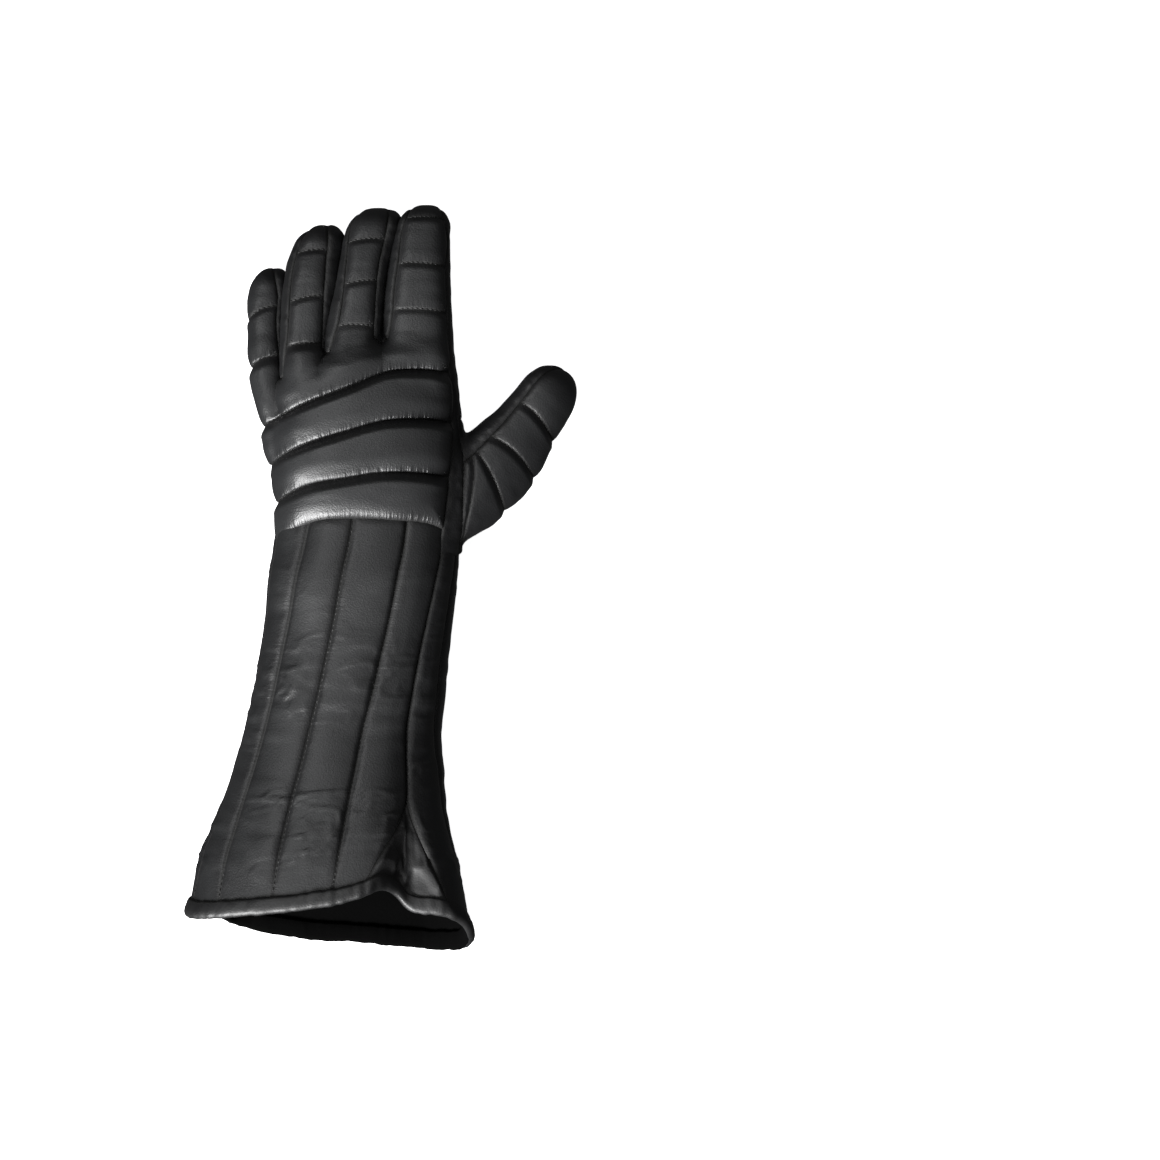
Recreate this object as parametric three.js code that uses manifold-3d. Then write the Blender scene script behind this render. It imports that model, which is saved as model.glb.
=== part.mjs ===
// A left-hand fencing gauntlet of padded leather, lying on its palm.
// +Z is up, +Y points to the fingertips, and +X to the thumb's side. Millimetres.
// The glove is hollow. A quilted back runs over the hand and the four fingers, and a smooth
// leather palm runs under them. Narrow strips join the two between the fingers.
// The thumb has a quilted back and a smooth front, and a long quilted cuff flares to its bound hem.
import * as THREE from "three";
import Module from "manifold-3d";

const wasm = await Module();
wasm.setup();

// Hand
const PALM_LENGTH = 82; // wrist seam to knuckle seam, along the middle of the back
const PALM_WIDTH = 114;
const PALM_DEPTH = 56;
const FINGER_LENGTH = 97; // the longest finger, from its root inside the hand
const FINGER_WIDTH = 35;
const FINGER_DEPTH = 31;
const THUMB_LENGTH = 128; // from its root inside the hand
const THUMB_WIDTH = 31;
const THUMB_DEPTH = 30;
const THUMB_ANGLE = 49; // degrees from +X to the thumb's axis
const THUMB_BOW = 5; // how far its middle line bows away from the fingers
const THUMB_SEAM_TILT = 42; // degrees that the seam's plane rolls outwards about the thumb's axis

// Cuff
const CUFF_LENGTH = 220; // wrist seam to the hem, along the middle of the back
const PALM_HEM_DROP = 30; // how much farther out the palm side's hem lies
const MOUTH_WIDTH = 162;
const MOUTH_DEPTH = 90;
const CUFF_LEAN = 23; // how far the mouth's middle lies towards the little finger's side
const CUFF_TUCK = 9; // the stretch of the cuff that is hidden in the hand
const TUCK_GAP = 0.9; // daylight between the tucked stretch and the hand
const FOLD_DEPTH = 9; // how far a gusset's fold sinks in
const FLOOR_PRESS = 2.5; // how far the resting side is pressed flat

// Walls, padding and seams
const LEATHER = 2; // leather with its lining, at a seam and wherever there is no padding
const HAND_PAD = 4.2; // height of the rolls on the back of the hand
const FINGER_PAD = 2.4;
const THUMB_PAD = 2.8;
const CUFF_PAD = 3.2;
const SEAM_GAP = 0.4; // daylight between two pieces that are sewn together
const BINDING_WIDTH = 8;
const BINDING_LEATHER = 1.4;
const BINDING_GAP = 0.55; // daylight between the binding and the hem in it
const TAG_LENGTH = 24;
const TAG_WIDTH = 10;
const TAG_CLOTH = 1;
const TAG_GAP = 0.4;

// How finely round shapes are faceted
const BODY_SIDES = 26;
const FINGER_SIDES = 12;
const THUMB_SIDES = 16;
const CUT_TOLERANCE = 0.06; // how far a cut piece may move when its facets are thinned out
const CUT_ROWS = 10; // rows of the seam surfaces that part the hand's pieces

const deg = Math.PI / 180;
const clamp = THREE.MathUtils.clamp;
const lerp = THREE.MathUtils.lerp;
const smooth = (x, low, high) => THREE.MathUtils.smoothstep(x, low, high);

// The value of a column at a place in a table whose rows are sorted by their own "at".
function along(table, at, column) {
  const last = table.length - 1;
  let i = 0;
  while (i < last - 1 && at > table[i + 1].at) i += 1;
  const [a, b] = [table[i], table[i + 1]];
  return lerp(a[column], b[column], (at - a.at) / (b.at - a.at));
}

// A point of a rounded outline. A higher power makes it squarer.
function rounded(angle, power) {
  const [c, s] = [Math.cos(angle), Math.sin(angle)];
  return {
    c: Math.sign(c) * Math.abs(c) ** (2 / power),
    s: Math.sign(s) * Math.abs(s) ** (2 / power),
  };
}

// A quilted cell's swell, from 0 on a seam to 1 well inside it. at runs from 0 to 1.
function swell(at, shoulder) {
  const near = clamp(Math.min(at, 1 - at) / shoulder, 0, 1);
  return Math.sqrt(1 - (1 - near) ** 2);
}

// Places of the rings that a row of quilted cells needs: each seam and both its shoulders.
function cellRings(seams, shoulder) {
  const places = [];
  for (let i = 0; i < seams.length - 1; i += 1) {
    const [a, b] = [seams[i], seams[i + 1]];
    for (const share of [0, shoulder * 0.5, 1 - shoulder * 0.5]) places.push(lerp(a, b, share));
  }
  return [...places, seams[seams.length - 1]];
}

// The height of a point of a wall that lies inset into the leather: the floor presses it flat.
function onFloor(height, inset) {
  return Math.max(height - FLOOR_PRESS, inset);
}

// Manifold solids from points and triangles

function solidOf(points, triangles) {
  const make = (faces) =>
    new wasm.Manifold(
      new wasm.Mesh({
        numProp: 3,
        vertProperties: new Float32Array(points.flatMap((p) => [p.x, p.y, p.z])),
        triVerts: new Uint32Array(faces.flat()),
      }),
    );
  const made = make(triangles);
  return made.volume() > 0 ? made : make(triangles.map(([a, b, c]) => [a, c, b]));
}

// Rings of equally many points, each joined to the next, with a fan over both ends.
function loft(rings) {
  const sides = rings[0].length;
  const points = rings.flat();
  const triangles = [];
  for (let i = 0; i < rings.length - 1; i += 1)
    for (let j = 0; j < sides; j += 1) {
      const k = (j + 1) % sides;
      const [a, b] = [i * sides, (i + 1) * sides];
      triangles.push([a + j, a + k, b + k], [a + j, b + k, b + j]);
    }
  for (const [ring, flip] of [[0, true], [rings.length - 1, false]]) {
    const middle = new THREE.Vector3();
    rings[ring].forEach((p) => middle.addScaledVector(p, 1 / sides));
    points.push(middle);
    for (let j = 0; j < sides; j += 1) {
      const [a, b] = [ring * sides + j, ring * sides + ((j + 1) % sides)];
      triangles.push(flip ? [b, a, points.length - 1] : [a, b, points.length - 1]);
    }
  }
  return solidOf(points, triangles);
}

// A solid between two grids of points of equal size. A wrapped one closes on itself along its rows.
function between(top, bottom, wrapped = false) {
  const rows = top.length;
  const columns = top[0].length;
  const points = [...top.flat(), ...bottom.flat()];
  const half = rows * columns;
  const at = (i, j, side) => side * half + i * columns + (j % columns);
  const triangles = [];
  const quad = (a, b, c, d) => triangles.push([a, b, c], [a, c, d]);
  const spans = wrapped ? columns : columns - 1;
  for (let i = 0; i < rows - 1; i += 1)
    for (let j = 0; j < spans; j += 1) {
      quad(at(i, j, 0), at(i, j + 1, 0), at(i + 1, j + 1, 0), at(i + 1, j, 0));
      quad(at(i, j, 1), at(i + 1, j, 1), at(i + 1, j + 1, 1), at(i, j + 1, 1));
    }
  for (let j = 0; j < spans; j += 1) {
    quad(at(0, j, 0), at(0, j, 1), at(0, j + 1, 1), at(0, j + 1, 0));
    quad(at(rows - 1, j, 0), at(rows - 1, j + 1, 0), at(rows - 1, j + 1, 1), at(rows - 1, j, 1));
  }
  if (!wrapped)
    for (let i = 0; i < rows - 1; i += 1) {
      quad(at(i, 0, 0), at(i + 1, 0, 0), at(i + 1, 0, 1), at(i, 0, 1));
      const j = columns - 1;
      quad(at(i, j, 0), at(i, j, 1), at(i + 1, j, 1), at(i + 1, j, 0));
    }
  return solidOf(points, triangles);
}

const union = (solids) => solids.reduce((a, b) => a.add(b));

// The hand's body

// Sections of the hand from the wrist to the roots of the fingers. at is a share of PALM_LENGTH,
// middle and slant shares of PALM_WIDTH, width and depth shares of the palm's, and bow how far the
// section arches towards the fingers, again as a share of PALM_WIDTH. raise is the lower side's
// height over the floor, as a share of PALM_DEPTH.
const HAND_SECTIONS = [
  { at: -0.2, middle: 0.018, width: 0.93, depth: 1.13, slant: 0.0, bow: 0.05, raise: 0.0 },
  { at: 0, middle: 0.017, width: 0.93, depth: 1.13, slant: 0.022, bow: 0.057, raise: 0.0 },
  { at: 0.33, middle: 0.01, width: 0.97, depth: 1.12, slant: 0.061, bow: 0.077, raise: 0.0 },
  { at: 0.67, middle: 0.0, width: 1.0, depth: 1.04, slant: 0.092, bow: 0.072, raise: 0.01 },
  { at: 1, middle: -0.026, width: 0.985, depth: 0.93, slant: 0.105, bow: 0.074, raise: 0.05 },
  { at: 1.2, middle: -0.05, width: 0.97, depth: 0.76, slant: 0.16, bow: 0.05, raise: 0.12 },
  { at: 1.36, middle: -0.06, width: 0.86, depth: 0.48, slant: 0.2, bow: 0.03, raise: 0.26 },
];
const HAND_START = -0.2;
const HAND_SEAMS = [0, 0.33, 0.67, 1]; // stitch lines across the back, as shares of PALM_LENGTH
const HAND_SHOULDER = 0.3;
const BACK_POWER = 2.3;
const PALM_POWER = 2.9;

// A point on the hand's body. pad is the height that the quilting adds, and inset moves it inwards.
function handPoint(at, angle, inset, padded) {
  const { c, s } = rounded(angle, angle < Math.PI ? BACK_POWER : PALM_POWER);
  const value = (column) => along(HAND_SECTIONS, at, column);
  const pad = padded ? HAND_PAD * handSwell(at) * backShare(angle) : 0;
  const halfWidth = (value("width") * PALM_WIDTH) / 2 - inset + pad;
  const halfDepth = (value("depth") * PALM_DEPTH) / 2 - inset + pad;
  const centre = (value("raise") + value("depth") / 2) * PALM_DEPTH;
  return new THREE.Vector3(
    value("middle") * PALM_WIDTH + halfWidth * c,
    at * PALM_LENGTH + PALM_WIDTH * (value("slant") * c - value("bow") * c * c),
    onFloor(centre + halfDepth * s, inset),
  );
}

// 1 on the quilted back, and 0 on the smooth palm, by the angle round the hand.
function backShare(angle) {
  const turn = angle / deg;
  return smooth(turn, 22, 42) * (1 - smooth(turn, 188, 206));
}

function handSwell(at) {
  for (let i = 0; i < HAND_SEAMS.length - 1; i += 1) {
    const [a, b] = [HAND_SEAMS[i], HAND_SEAMS[i + 1]];
    if (at >= a && at <= b) return swell((at - a) / (b - a), HAND_SHOULDER);
  }
  return at > 1 ? 0.75 * smooth(at, 1, 1.1) * (1 - smooth(at, 1.15, 1.36)) : 0;
}

function handBody(inset, padded) {
  const places = padded
    ? [HAND_START, ...cellRings(HAND_SEAMS, HAND_SHOULDER), 1.1, 1.2, 1.36]
    : [2 * HAND_START, ...HAND_SECTIONS.map((row) => row.at)];
  return loft(
    places.map((at) =>
      Array.from({ length: BODY_SIDES }, (_, j) =>
        handPoint(at, (j / BODY_SIDES) * 2 * Math.PI, inset, padded),
      ),
    ),
  );
}

// Fingers

// rootX is a share of PALM_WIDTH, rootY of PALM_LENGTH, length of FINGER_LENGTH, and width and
// depth of the finger's. lean and curl move the tip sideways, as shares of FINGER_LENGTH. rise is
// the root's height and fall the tip's drop, as shares of PALM_DEPTH. seams are the stitch lines
// across its back, as shares of the finger's own length.
const FINGERS = [
  { name: "little", rootX: -0.42, rootY: 0.62, length: 1.03, width: 0.7, depth: 0.82,
    lean: -0.27, curl: 0.17, rise: 0.48, fall: 0.24, seams: [0.44, 0.72] },
  { name: "ring", rootX: -0.325, rootY: 0.98, length: 0.98, width: 0.86, depth: 0.94,
    lean: 0.01, curl: 0.12, rise: 0.58, fall: 0.26, seams: [0.26, 0.54, 0.83] },
  { name: "middle", rootX: -0.082, rootY: 1.1, length: 0.985, width: 0.82, depth: 0.97,
    lean: 0.12, curl: 0.08, rise: 0.6, fall: 0.28, seams: [0.24, 0.52, 0.79] },
  { name: "index", rootX: 0.27, rootY: 1.1, length: 1, width: 1, depth: 1,
    lean: 0.015, curl: 0.04, rise: 0.57, fall: 0.24, seams: [0.34, 0.62, 0.92] },
];
const FINGER_POWER = 2.35;
const TIP_SHARE = 0.155; // length of the rounded tip, as a share of FINGER_LENGTH
const FALL_POWER = 1.7;
const FINGER_SHOULDER = 0.34;

// The finger's middle line at a share of its length, and its slope there.
function fingerAxis(finger, at) {
  const length = finger.length * FINGER_LENGTH;
  const fall = finger.fall * PALM_DEPTH;
  return {
    x: finger.rootX * PALM_WIDTH + (finger.lean * at + finger.curl * at * at) * FINGER_LENGTH,
    y: finger.rootY * PALM_LENGTH + length * at,
    z: finger.rise * PALM_DEPTH - fall * Math.max(at, 0) ** FALL_POWER,
    turn: ((finger.lean + 2 * finger.curl * at) * FINGER_LENGTH) / length,
    slope: (-fall * FALL_POWER * Math.max(at, 0) ** (FALL_POWER - 1)) / length,
  };
}

// How much of the full width is left at a place: all of it, less near the tip.
function tipTaper(finger, at, inset) {
  const length = finger.length * FINGER_LENGTH - inset;
  const tip = TIP_SHARE * FINGER_LENGTH;
  const into = clamp((at * length - (length - tip)) / tip, 0, 1);
  return (1 - into ** 2.2) ** (1 / 2.2);
}

function fingerSwell(finger, at) {
  const seams = [...finger.seams, 1.12];
  for (let i = 0; i < seams.length - 1; i += 1)
    if (at >= seams[i] && at <= seams[i + 1])
      return swell((at - seams[i]) / (seams[i + 1] - seams[i]), FINGER_SHOULDER);
  return at < seams[0] ? swell((seams[0] - at) / 0.5, FINGER_SHOULDER) * smooth(at, 0, 0.1) : 0;
}

function fingerPoint(finger, at, angle, inset, padded) {
  const tapered = tipTaper(finger, at, inset);
  const ends = (finger.length * FINGER_LENGTH - inset) / (finger.length * FINGER_LENGTH);
  const axis = fingerAxis(finger, at * ends);
  const { c, s } = rounded(angle, FINGER_POWER);
  const top = smooth(s, 0.1, 0.75);
  const pad = padded ? FINGER_PAD * fingerSwell(finger, at) * top : 0;
  const narrow = 1 - 0.12 * smooth(at, 0.4, 0.95);
  const across = ((finger.width * FINGER_WIDTH * narrow) / 2 - inset) * tapered * c;
  const over = ((finger.depth * FINGER_DEPTH * narrow) / 2 - inset + pad) * tapered * s;
  return new THREE.Vector3(
    axis.x + across,
    axis.y - across * axis.turn - over * axis.slope,
    axis.z + over,
  );
}

function fingerTube(finger, inset, padded) {
  const tip = TIP_SHARE / finger.length;
  const capRings = [1 - tip * 0.5, 1 - tip * 0.18, 1 - tip * 0.01];
  const lastSeam = finger.seams[finger.seams.length - 1];
  const cells = [...cellRings(finger.seams, FINGER_SHOULDER), lastSeam + 0.03];
  const body = padded ? [0, ...cells] : [0, 0.4, 0.75];
  const places = [...body.filter((at) => at < capRings[0] - 0.02), ...capRings];
  const sides = padded ? FINGER_SIDES : FINGER_SIDES - 2;
  return loft(
    places.map((at) =>
      Array.from({ length: sides }, (_, j) =>
        fingerPoint(finger, at, (j / sides) * 2 * Math.PI, inset, padded),
      ),
    ),
  );
}

// Thumb

// at is a share of THUMB_LENGTH, width and depth shares of the thumb's, rise a share of THUMB_DEPTH.
const THUMB_SECTIONS = [
  { at: 0, width: 1.62, depth: 1.62, rise: 0.82 },
  { at: 0.18, width: 1.46, depth: 1.5, rise: 0.76 },
  { at: 0.38, width: 1.18, depth: 1.25, rise: 0.64 },
  { at: 0.6, width: 1.02, depth: 1.05, rise: 0.55 },
  { at: 0.85, width: 0.96, depth: 0.96, rise: 0.5 },
  { at: 1, width: 0.92, depth: 0.92, rise: 0.48 },
];
const THUMB_SEAMS = [0.12, 0.36, 0.58, 0.79];
const THUMB_SHOULDER = 0.34;
const THUMB_ROOT = { x: 0.3, y: -0.05 }; // shares of PALM_WIDTH and PALM_LENGTH
const THUMB_TIP_SHARE = 0.15;
const THUMB_POWER = 2.2;

const thumbDirection = new THREE.Vector2(Math.cos(THUMB_ANGLE * deg), Math.sin(THUMB_ANGLE * deg));
const thumbAcross = new THREE.Vector2(-thumbDirection.y, thumbDirection.x); // towards the index finger

function thumbAxis(at) {
  const bow = -THUMB_BOW * (1 - (2 * clamp(at, 0, 1) - 1) ** 4);
  return new THREE.Vector3(
    THUMB_ROOT.x * PALM_WIDTH + thumbDirection.x * at * THUMB_LENGTH + thumbAcross.x * bow,
    THUMB_ROOT.y * PALM_LENGTH + thumbDirection.y * at * THUMB_LENGTH + thumbAcross.y * bow,
    along(THUMB_SECTIONS, at, "rise") * THUMB_DEPTH,
  );
}

function thumbSwell(at) {
  const seams = [-0.05, ...THUMB_SEAMS, 1.12];
  for (let i = 0; i < seams.length - 1; i += 1)
    if (at >= seams[i] && at <= seams[i + 1])
      return swell((at - seams[i]) / (seams[i + 1] - seams[i]), THUMB_SHOULDER);
  return 0;
}

function thumbPoint(at, angle, inset, padded) {
  const length = THUMB_LENGTH - inset;
  const tip = THUMB_TIP_SHARE * THUMB_LENGTH;
  const into = clamp((at * length - (length - tip)) / tip, 0, 1);
  const tapered = (1 - into ** 2.1) ** (1 / 2.1);
  const axis = thumbAxis((at * length) / THUMB_LENGTH);
  const { c, s } = rounded(angle, THUMB_POWER);
  const outer = smooth(s * Math.cos(THUMB_SEAM_TILT * deg) - c * Math.sin(THUMB_SEAM_TILT * deg), 0, 0.5);
  const pad = padded ? THUMB_PAD * thumbSwell(at) * outer : 0;
  const value = (column) => along(THUMB_SECTIONS, at, column);
  const across = ((value("width") * THUMB_WIDTH) / 2 - inset + pad) * tapered * c;
  const over = ((value("depth") * THUMB_DEPTH) / 2 - inset + pad) * tapered * s;
  return new THREE.Vector3(
    axis.x + thumbAcross.x * across,
    axis.y + thumbAcross.y * across,
    onFloor(axis.z + over, inset),
  );
}

function thumbTube(inset, padded) {
  const tip = THUMB_TIP_SHARE;
  const capRings = [1 - tip * 0.55, 1 - tip * 0.2, 1 - tip * 0.01];
  const body = padded
    ? [0, ...cellRings(THUMB_SEAMS, THUMB_SHOULDER), 0.82]
    : [-0.05, 0.18, 0.38, 0.6, 0.82];
  const sides = padded ? THUMB_SIDES : THUMB_SIDES - 2;
  return loft(
    [...body, ...capRings].map((at) =>
      Array.from({ length: sides }, (_, j) =>
        thumbPoint(at, (j / sides) * 2 * Math.PI, inset, padded),
      ),
    ),
  );
}

// The hand's hollow shell

const outerHand = union([
  handBody(0, true),
  ...FINGERS.map((finger) => fingerTube(finger, 0, true)),
  thumbTube(0, true),
]);
const innerHand = union([
  handBody(LEATHER, false),
  ...FINGERS.map((finger) => fingerTube(finger, LEATHER, false)),
  thumbTube(LEATHER, false),
]);
const handShell = outerHand.subtract(innerHand);

// Seams of the hand

// Where a place lies across the fingers: 0 on the little finger's middle line, 1 on the ring
// finger's, 2 on the middle finger's, 3 on the index finger's, and half numbers between two fingers.
function fingerLines(y) {
  return FINGERS.map((finger) => {
    const at = (y - finger.rootY * PALM_LENGTH) / (finger.length * FINGER_LENGTH);
    return fingerAxis(finger, clamp(at, -0.3, 1.1));
  });
}

function acrossFingers(lines, q, key) {
  const i = clamp(Math.floor(q), 0, lines.length - 2);
  const share = key === "x" ? q - i : clamp(q - i, 0, 1);
  return lerp(lines[i][key], lines[i + 1][key], share);
}

// Heights of the upper and lower seams over the fingers' middle lines, as shares of half a
// finger's depth. The two run together beyond the little finger and beyond the index finger.
const SEAM_LEVELS = [
  { at: -0.5, upper: -0.7, lower: -0.7 },
  { at: 0, upper: -0.6, lower: -0.6 },
  { at: 0.25, upper: 0.7, lower: -0.7 },
  { at: 0.5, upper: 0.75, lower: -0.7 },
  { at: 0.75, upper: 0.6, lower: -0.6 },
  { at: 1, upper: 0.1, lower: 0.1 },
  { at: 1.25, upper: 0.75, lower: -0.6 },
  { at: 1.5, upper: 0.75, lower: -0.7 },
  { at: 1.75, upper: 0.65, lower: -0.6 },
  { at: 2, upper: 0.1, lower: 0.1 },
  { at: 2.25, upper: 0.72, lower: -0.6 },
  { at: 2.5, upper: 0.72, lower: -0.7 },
  { at: 2.75, upper: 0.68, lower: -0.4 },
  { at: 3, upper: 0.68, lower: 0.68 },
  { at: 3.6, upper: 0.7, lower: 0.7 },
];
// Height of the index finger's side seam over the fingers' line, beyond the roots of the fingers:
// a share of PALM_DEPTH, by the share of PALM_LENGTH.
const SIDE_SEAM_RISE = [
  { at: -0.3, rise: 0.34 },
  { at: 0.33, rise: 0.22 },
  { at: 1, rise: 0.06 },
  { at: 1.4, rise: 0 },
  { at: 2.6, rise: 0 },
];
const STRIP_START = 0.72; // the strips between the fingers start at this share of PALM_LENGTH
const STRIP_OPEN = 0.95; // and have their full height from here on
const HIGH = 140;
const LOW = -60;

function seamHeight(lines, q, y, column) {
  const half = (FINGER_DEPTH / 2) * (1 - 0.12 * smooth(y / PALM_LENGTH, 1.6, 2.2));
  const lower = along(SEAM_LEVELS, q, "lower");
  const open = smooth(y / PALM_LENGTH, STRIP_START, STRIP_OPEN);
  const level = lerp(lower, along(SEAM_LEVELS, q, column), open) * half;
  const side = smooth(q, 2.6, 3.2) * along(SIDE_SEAM_RISE, y / PALM_LENGTH, "rise") * PALM_DEPTH;
  return acrossFingers(lines, q, "z") + level + side;
}

// A block whose floor or ceiling is a seam surface. shift leaves the daylight in the seam.
function seamBlock(column, shift, limit) {
  const columns = SEAM_LEVELS.map((row) => row.at);
  const rows = Array.from(
    { length: CUT_ROWS },
    (_, i) => lerp(-0.45, 2.62, i / (CUT_ROWS - 1)) * PALM_LENGTH,
  );
  const surface = rows.map((y) => {
    const lines = fingerLines(y);
    const edge = columns.map(
      (q) =>
        new THREE.Vector3(acrossFingers(lines, q, "x"), y, seamHeight(lines, q, y, column) + shift),
    );
    const [first, last] = [edge[0], edge[edge.length - 1]];
    const beyond = new THREE.Vector3(first.x - PALM_WIDTH, y, first.z);
    const far = new THREE.Vector3(last.x + PALM_WIDTH, y, last.z);
    return [beyond, ...edge, far];
  });
  const flat = surface.map((row) => row.map((p) => new THREE.Vector3(p.x, p.y, limit)));
  return limit > 0 ? between(surface, flat) : between(flat, surface);
}

// The part of space on the thumb's side of the palm: a slanting wall from a line on the back of
// the hand down to the curved seam on the palm. x is a share of PALM_WIDTH, y of PALM_LENGTH.
const THUMB_SEAM = [
  { y: -0.4, under: 0.17, over: 0.475 },
  { y: -0.1, under: 0.14, over: 0.48 },
  { y: 0.3, under: 0.1, over: 0.492 },
  { y: 0.6, under: 0.11, over: 0.5 },
  { y: 0.82, under: 0.16, over: 0.505 },
  { y: 0.99, under: 0.28, over: 0.51 },
];
const CROTCH = [
  { under: [0.3, 0.97], over: [0.52, 0.79] },
  { under: [0.33, 0.82], over: [0.53, 0.75] },
  { under: [0.42, 0.72], over: [0.56, 0.72] },
  { under: [0.52, 0.72], over: [0.6, 0.74] },
  { under: [0.8, 1.5], over: [0.8, 1.5] },
  { under: [1.6, 1.5], over: [1.6, 1.5] },
  { under: [1.6, -0.4], over: [1.6, -0.4] },
];

function thumbRegion(grow) {
  const rows = [
    ...THUMB_SEAM.map((r) => ({
      under: [r.under, Math.min(r.y, 0.99)],
      over: [r.over, Math.min(r.y, 0.76)],
    })),
    ...CROTCH,
  ];
  const ring = (key, height) => {
    const outline = rows.map((r) => new THREE.Vector2(r[key][0] * PALM_WIDTH, r[key][1] * PALM_LENGTH));
    return offsetOutline(outline, grow).map((p) => new THREE.Vector3(p.x, p.y, height));
  };
  return loft([ring("under", -10), ring("under", 4), ring("over", PALM_DEPTH * 0.75), ring("over", HIGH)]);
}

// A closed outline moved outwards by a small distance, for the daylight in a seam.
function offsetOutline(points, distance) {
  const count = points.length;
  const area = points.reduce((sum, p, i) => sum + p.cross(points[(i + 1) % count]), 0);
  return points.map((p, i) => {
    const before = points[(i + count - 1) % count];
    const after = points[(i + 1) % count];
    const into = p.clone().sub(before).normalize();
    const onward = after.clone().sub(p).normalize();
    const run = into.clone().add(onward).normalize();
    const mitre = distance / Math.max(into.dot(run), 0.4);
    const outward = new THREE.Vector2(run.y, -run.x).multiplyScalar(Math.sign(area));
    return p.clone().addScaledVector(outward, mitre);
  });
}

// Everything on the quilted side of the thumb's seam, a plane that rolls about its axis.
function thumbBackBlock(shift, outwards) {
  const tilt = THUMB_SEAM_TILT * deg;
  const lean = new THREE.Vector3(thumbAcross.x * Math.cos(tilt), thumbAcross.y * Math.cos(tilt), Math.sin(tilt));
  const out = new THREE.Vector3(-thumbAcross.x * Math.sin(tilt), -thumbAcross.y * Math.sin(tilt), Math.cos(tilt));
  const places = [-0.5, 0, 0.22, 0.42, 0.66, 0.86, 1, 1.3];
  const spread = 90;
  const sheet = (distance) =>
    places.map((at) =>
      [-spread, spread].map((side) =>
        thumbAxis(at).addScaledVector(lean, side).addScaledVector(out, distance),
      ),
    );
  return between(sheet(shift), sheet(outwards ? HIGH : -HIGH));
}

// The hand's own wrist edge: every piece of the shell ends along the wrist seam.
const WRIST_EDGE = [
  { at: 0, reach: -0.2 },
  { at: 34, reach: -0.18 },
  { at: 40, reach: 0 },
  { at: 180, reach: 0 },
  { at: 215, reach: -0.15 },
  { at: 270, reach: -0.09 },
  { at: 360, reach: -0.2 },
];

function pastWristEdge() {
  const steps = 36;
  const ring = (out, y) =>
    Array.from({ length: steps }, (_, j) => {
      const angle = (j / steps) * 2 * Math.PI;
      const p = handPoint(0, angle, 0, false);
      const centre = new THREE.Vector3(0, 0, PALM_DEPTH * 0.55);
      const q = centre.clone().lerp(p, out);
      const reach = y === null ? along(WRIST_EDGE, angle / deg, "reach") * PALM_LENGTH + (p.y) : y;
      return new THREE.Vector3(q.x, reach, q.z);
    });
  return between([ring(1.6, null), ring(1.6, -120)], [ring(0.5, null), ring(0.5, -120)], true);
}

const trimmedShell = handShell.subtract(pastWristEdge());
const gap = SEAM_GAP / 2;
const backPanel = trimmedShell.intersect(seamBlock("upper", gap, HIGH));
const betweenSeams = trimmedShell
  .intersect(seamBlock("upper", -gap, LOW))
  .intersect(seamBlock("lower", gap, HIGH));
const lowerHand = trimmedShell
  .intersect(seamBlock("lower", -gap, LOW))
  .intersect(seamBlock("upper", -gap, LOW));


// The stretch of the palm side that carries the fronts of the middle and the ring finger. q tells
// where it lies across the fingers, and y is a share of PALM_LENGTH.
const INSERT_EDGE = [
  { q: 0.5, y: 1.01 },
  { q: 1, y: 1.08 },
  { q: 1.5, y: 1.15 },
  { q: 2, y: 1.17 },
  { q: 2.5, y: 1.15 },
];

function insertRegion(grow) {
  const far = 2.7 * PALM_LENGTH;
  const point = (q, y) => new THREE.Vector2(acrossFingers(fingerLines(y), q, "x"), y);
  const outline = [
    ...INSERT_EDGE.map((row) => point(row.q, row.y * PALM_LENGTH)),
    ...[1.5, 1.8, 2.7].map((share) => point(2.5, share * PALM_LENGTH)),
    ...[2.7, 1.8, 1.5].map((share) => point(0.5, share * PALM_LENGTH)),
  ];
  const ring = (height) =>
    offsetOutline(outline, grow).map((p) => new THREE.Vector3(p.x, p.y, height));
  return loft([ring(-10), ring(far)]);
}

// Of what a cut leaves, the one body that counts: slivers at the ends of a seam are dropped.
function mainBody(solid) {
  const bodies = solid.simplify(CUT_TOLERANCE).decompose();
  return bodies.reduce((a, b) => (b.volume() > a.volume() ? b : a));
}

// The strip between two neighbouring fingers: the largest body that lies between their middle lines.
function stripBetween(index) {
  const between2 = betweenSeams.decompose().filter((body) => {
    const { min, max } = body.boundingBox();
    const lines = fingerLines((min[1] + max[1]) / 2);
    const middle = (min[0] + max[0]) / 2;
    return middle > lines[index].x && middle < lines[index + 1].x;
  });
  return between2.reduce((a, b) => (b.volume() > a.volume() ? b : a)).simplify(CUT_TOLERANCE);
}

// Cuff

// at is a share of CUFF_LENGTH from the wrist seam. lean is a share of CUFF_LEAN, and spread runs
// from 0, the size of the wrist, to 1, the size of the mouth.
const CUFF_SECTIONS = [
  { at: -0.05, lean: 0, spread: 0 },
  { at: 0.1, lean: 0.03, spread: 0 },
  { at: 0.16, lean: 0.08, spread: 0.1 },
  { at: 0.3, lean: 0.22, spread: 0.14 },
  { at: 0.45, lean: 0.44, spread: 0.17 },
  { at: 0.65, lean: 0.72, spread: 0.34 },
  { at: 0.85, lean: 1, spread: 0.72 },
  { at: 1, lean: 1, spread: 1 },
];
// A seam's angles, a whole turn back.
function turnedBack({ wrist, tip, hem }) {
  return { wrist: wrist - 360, tip: tip - 360, hem: hem - 360 };
}

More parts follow.
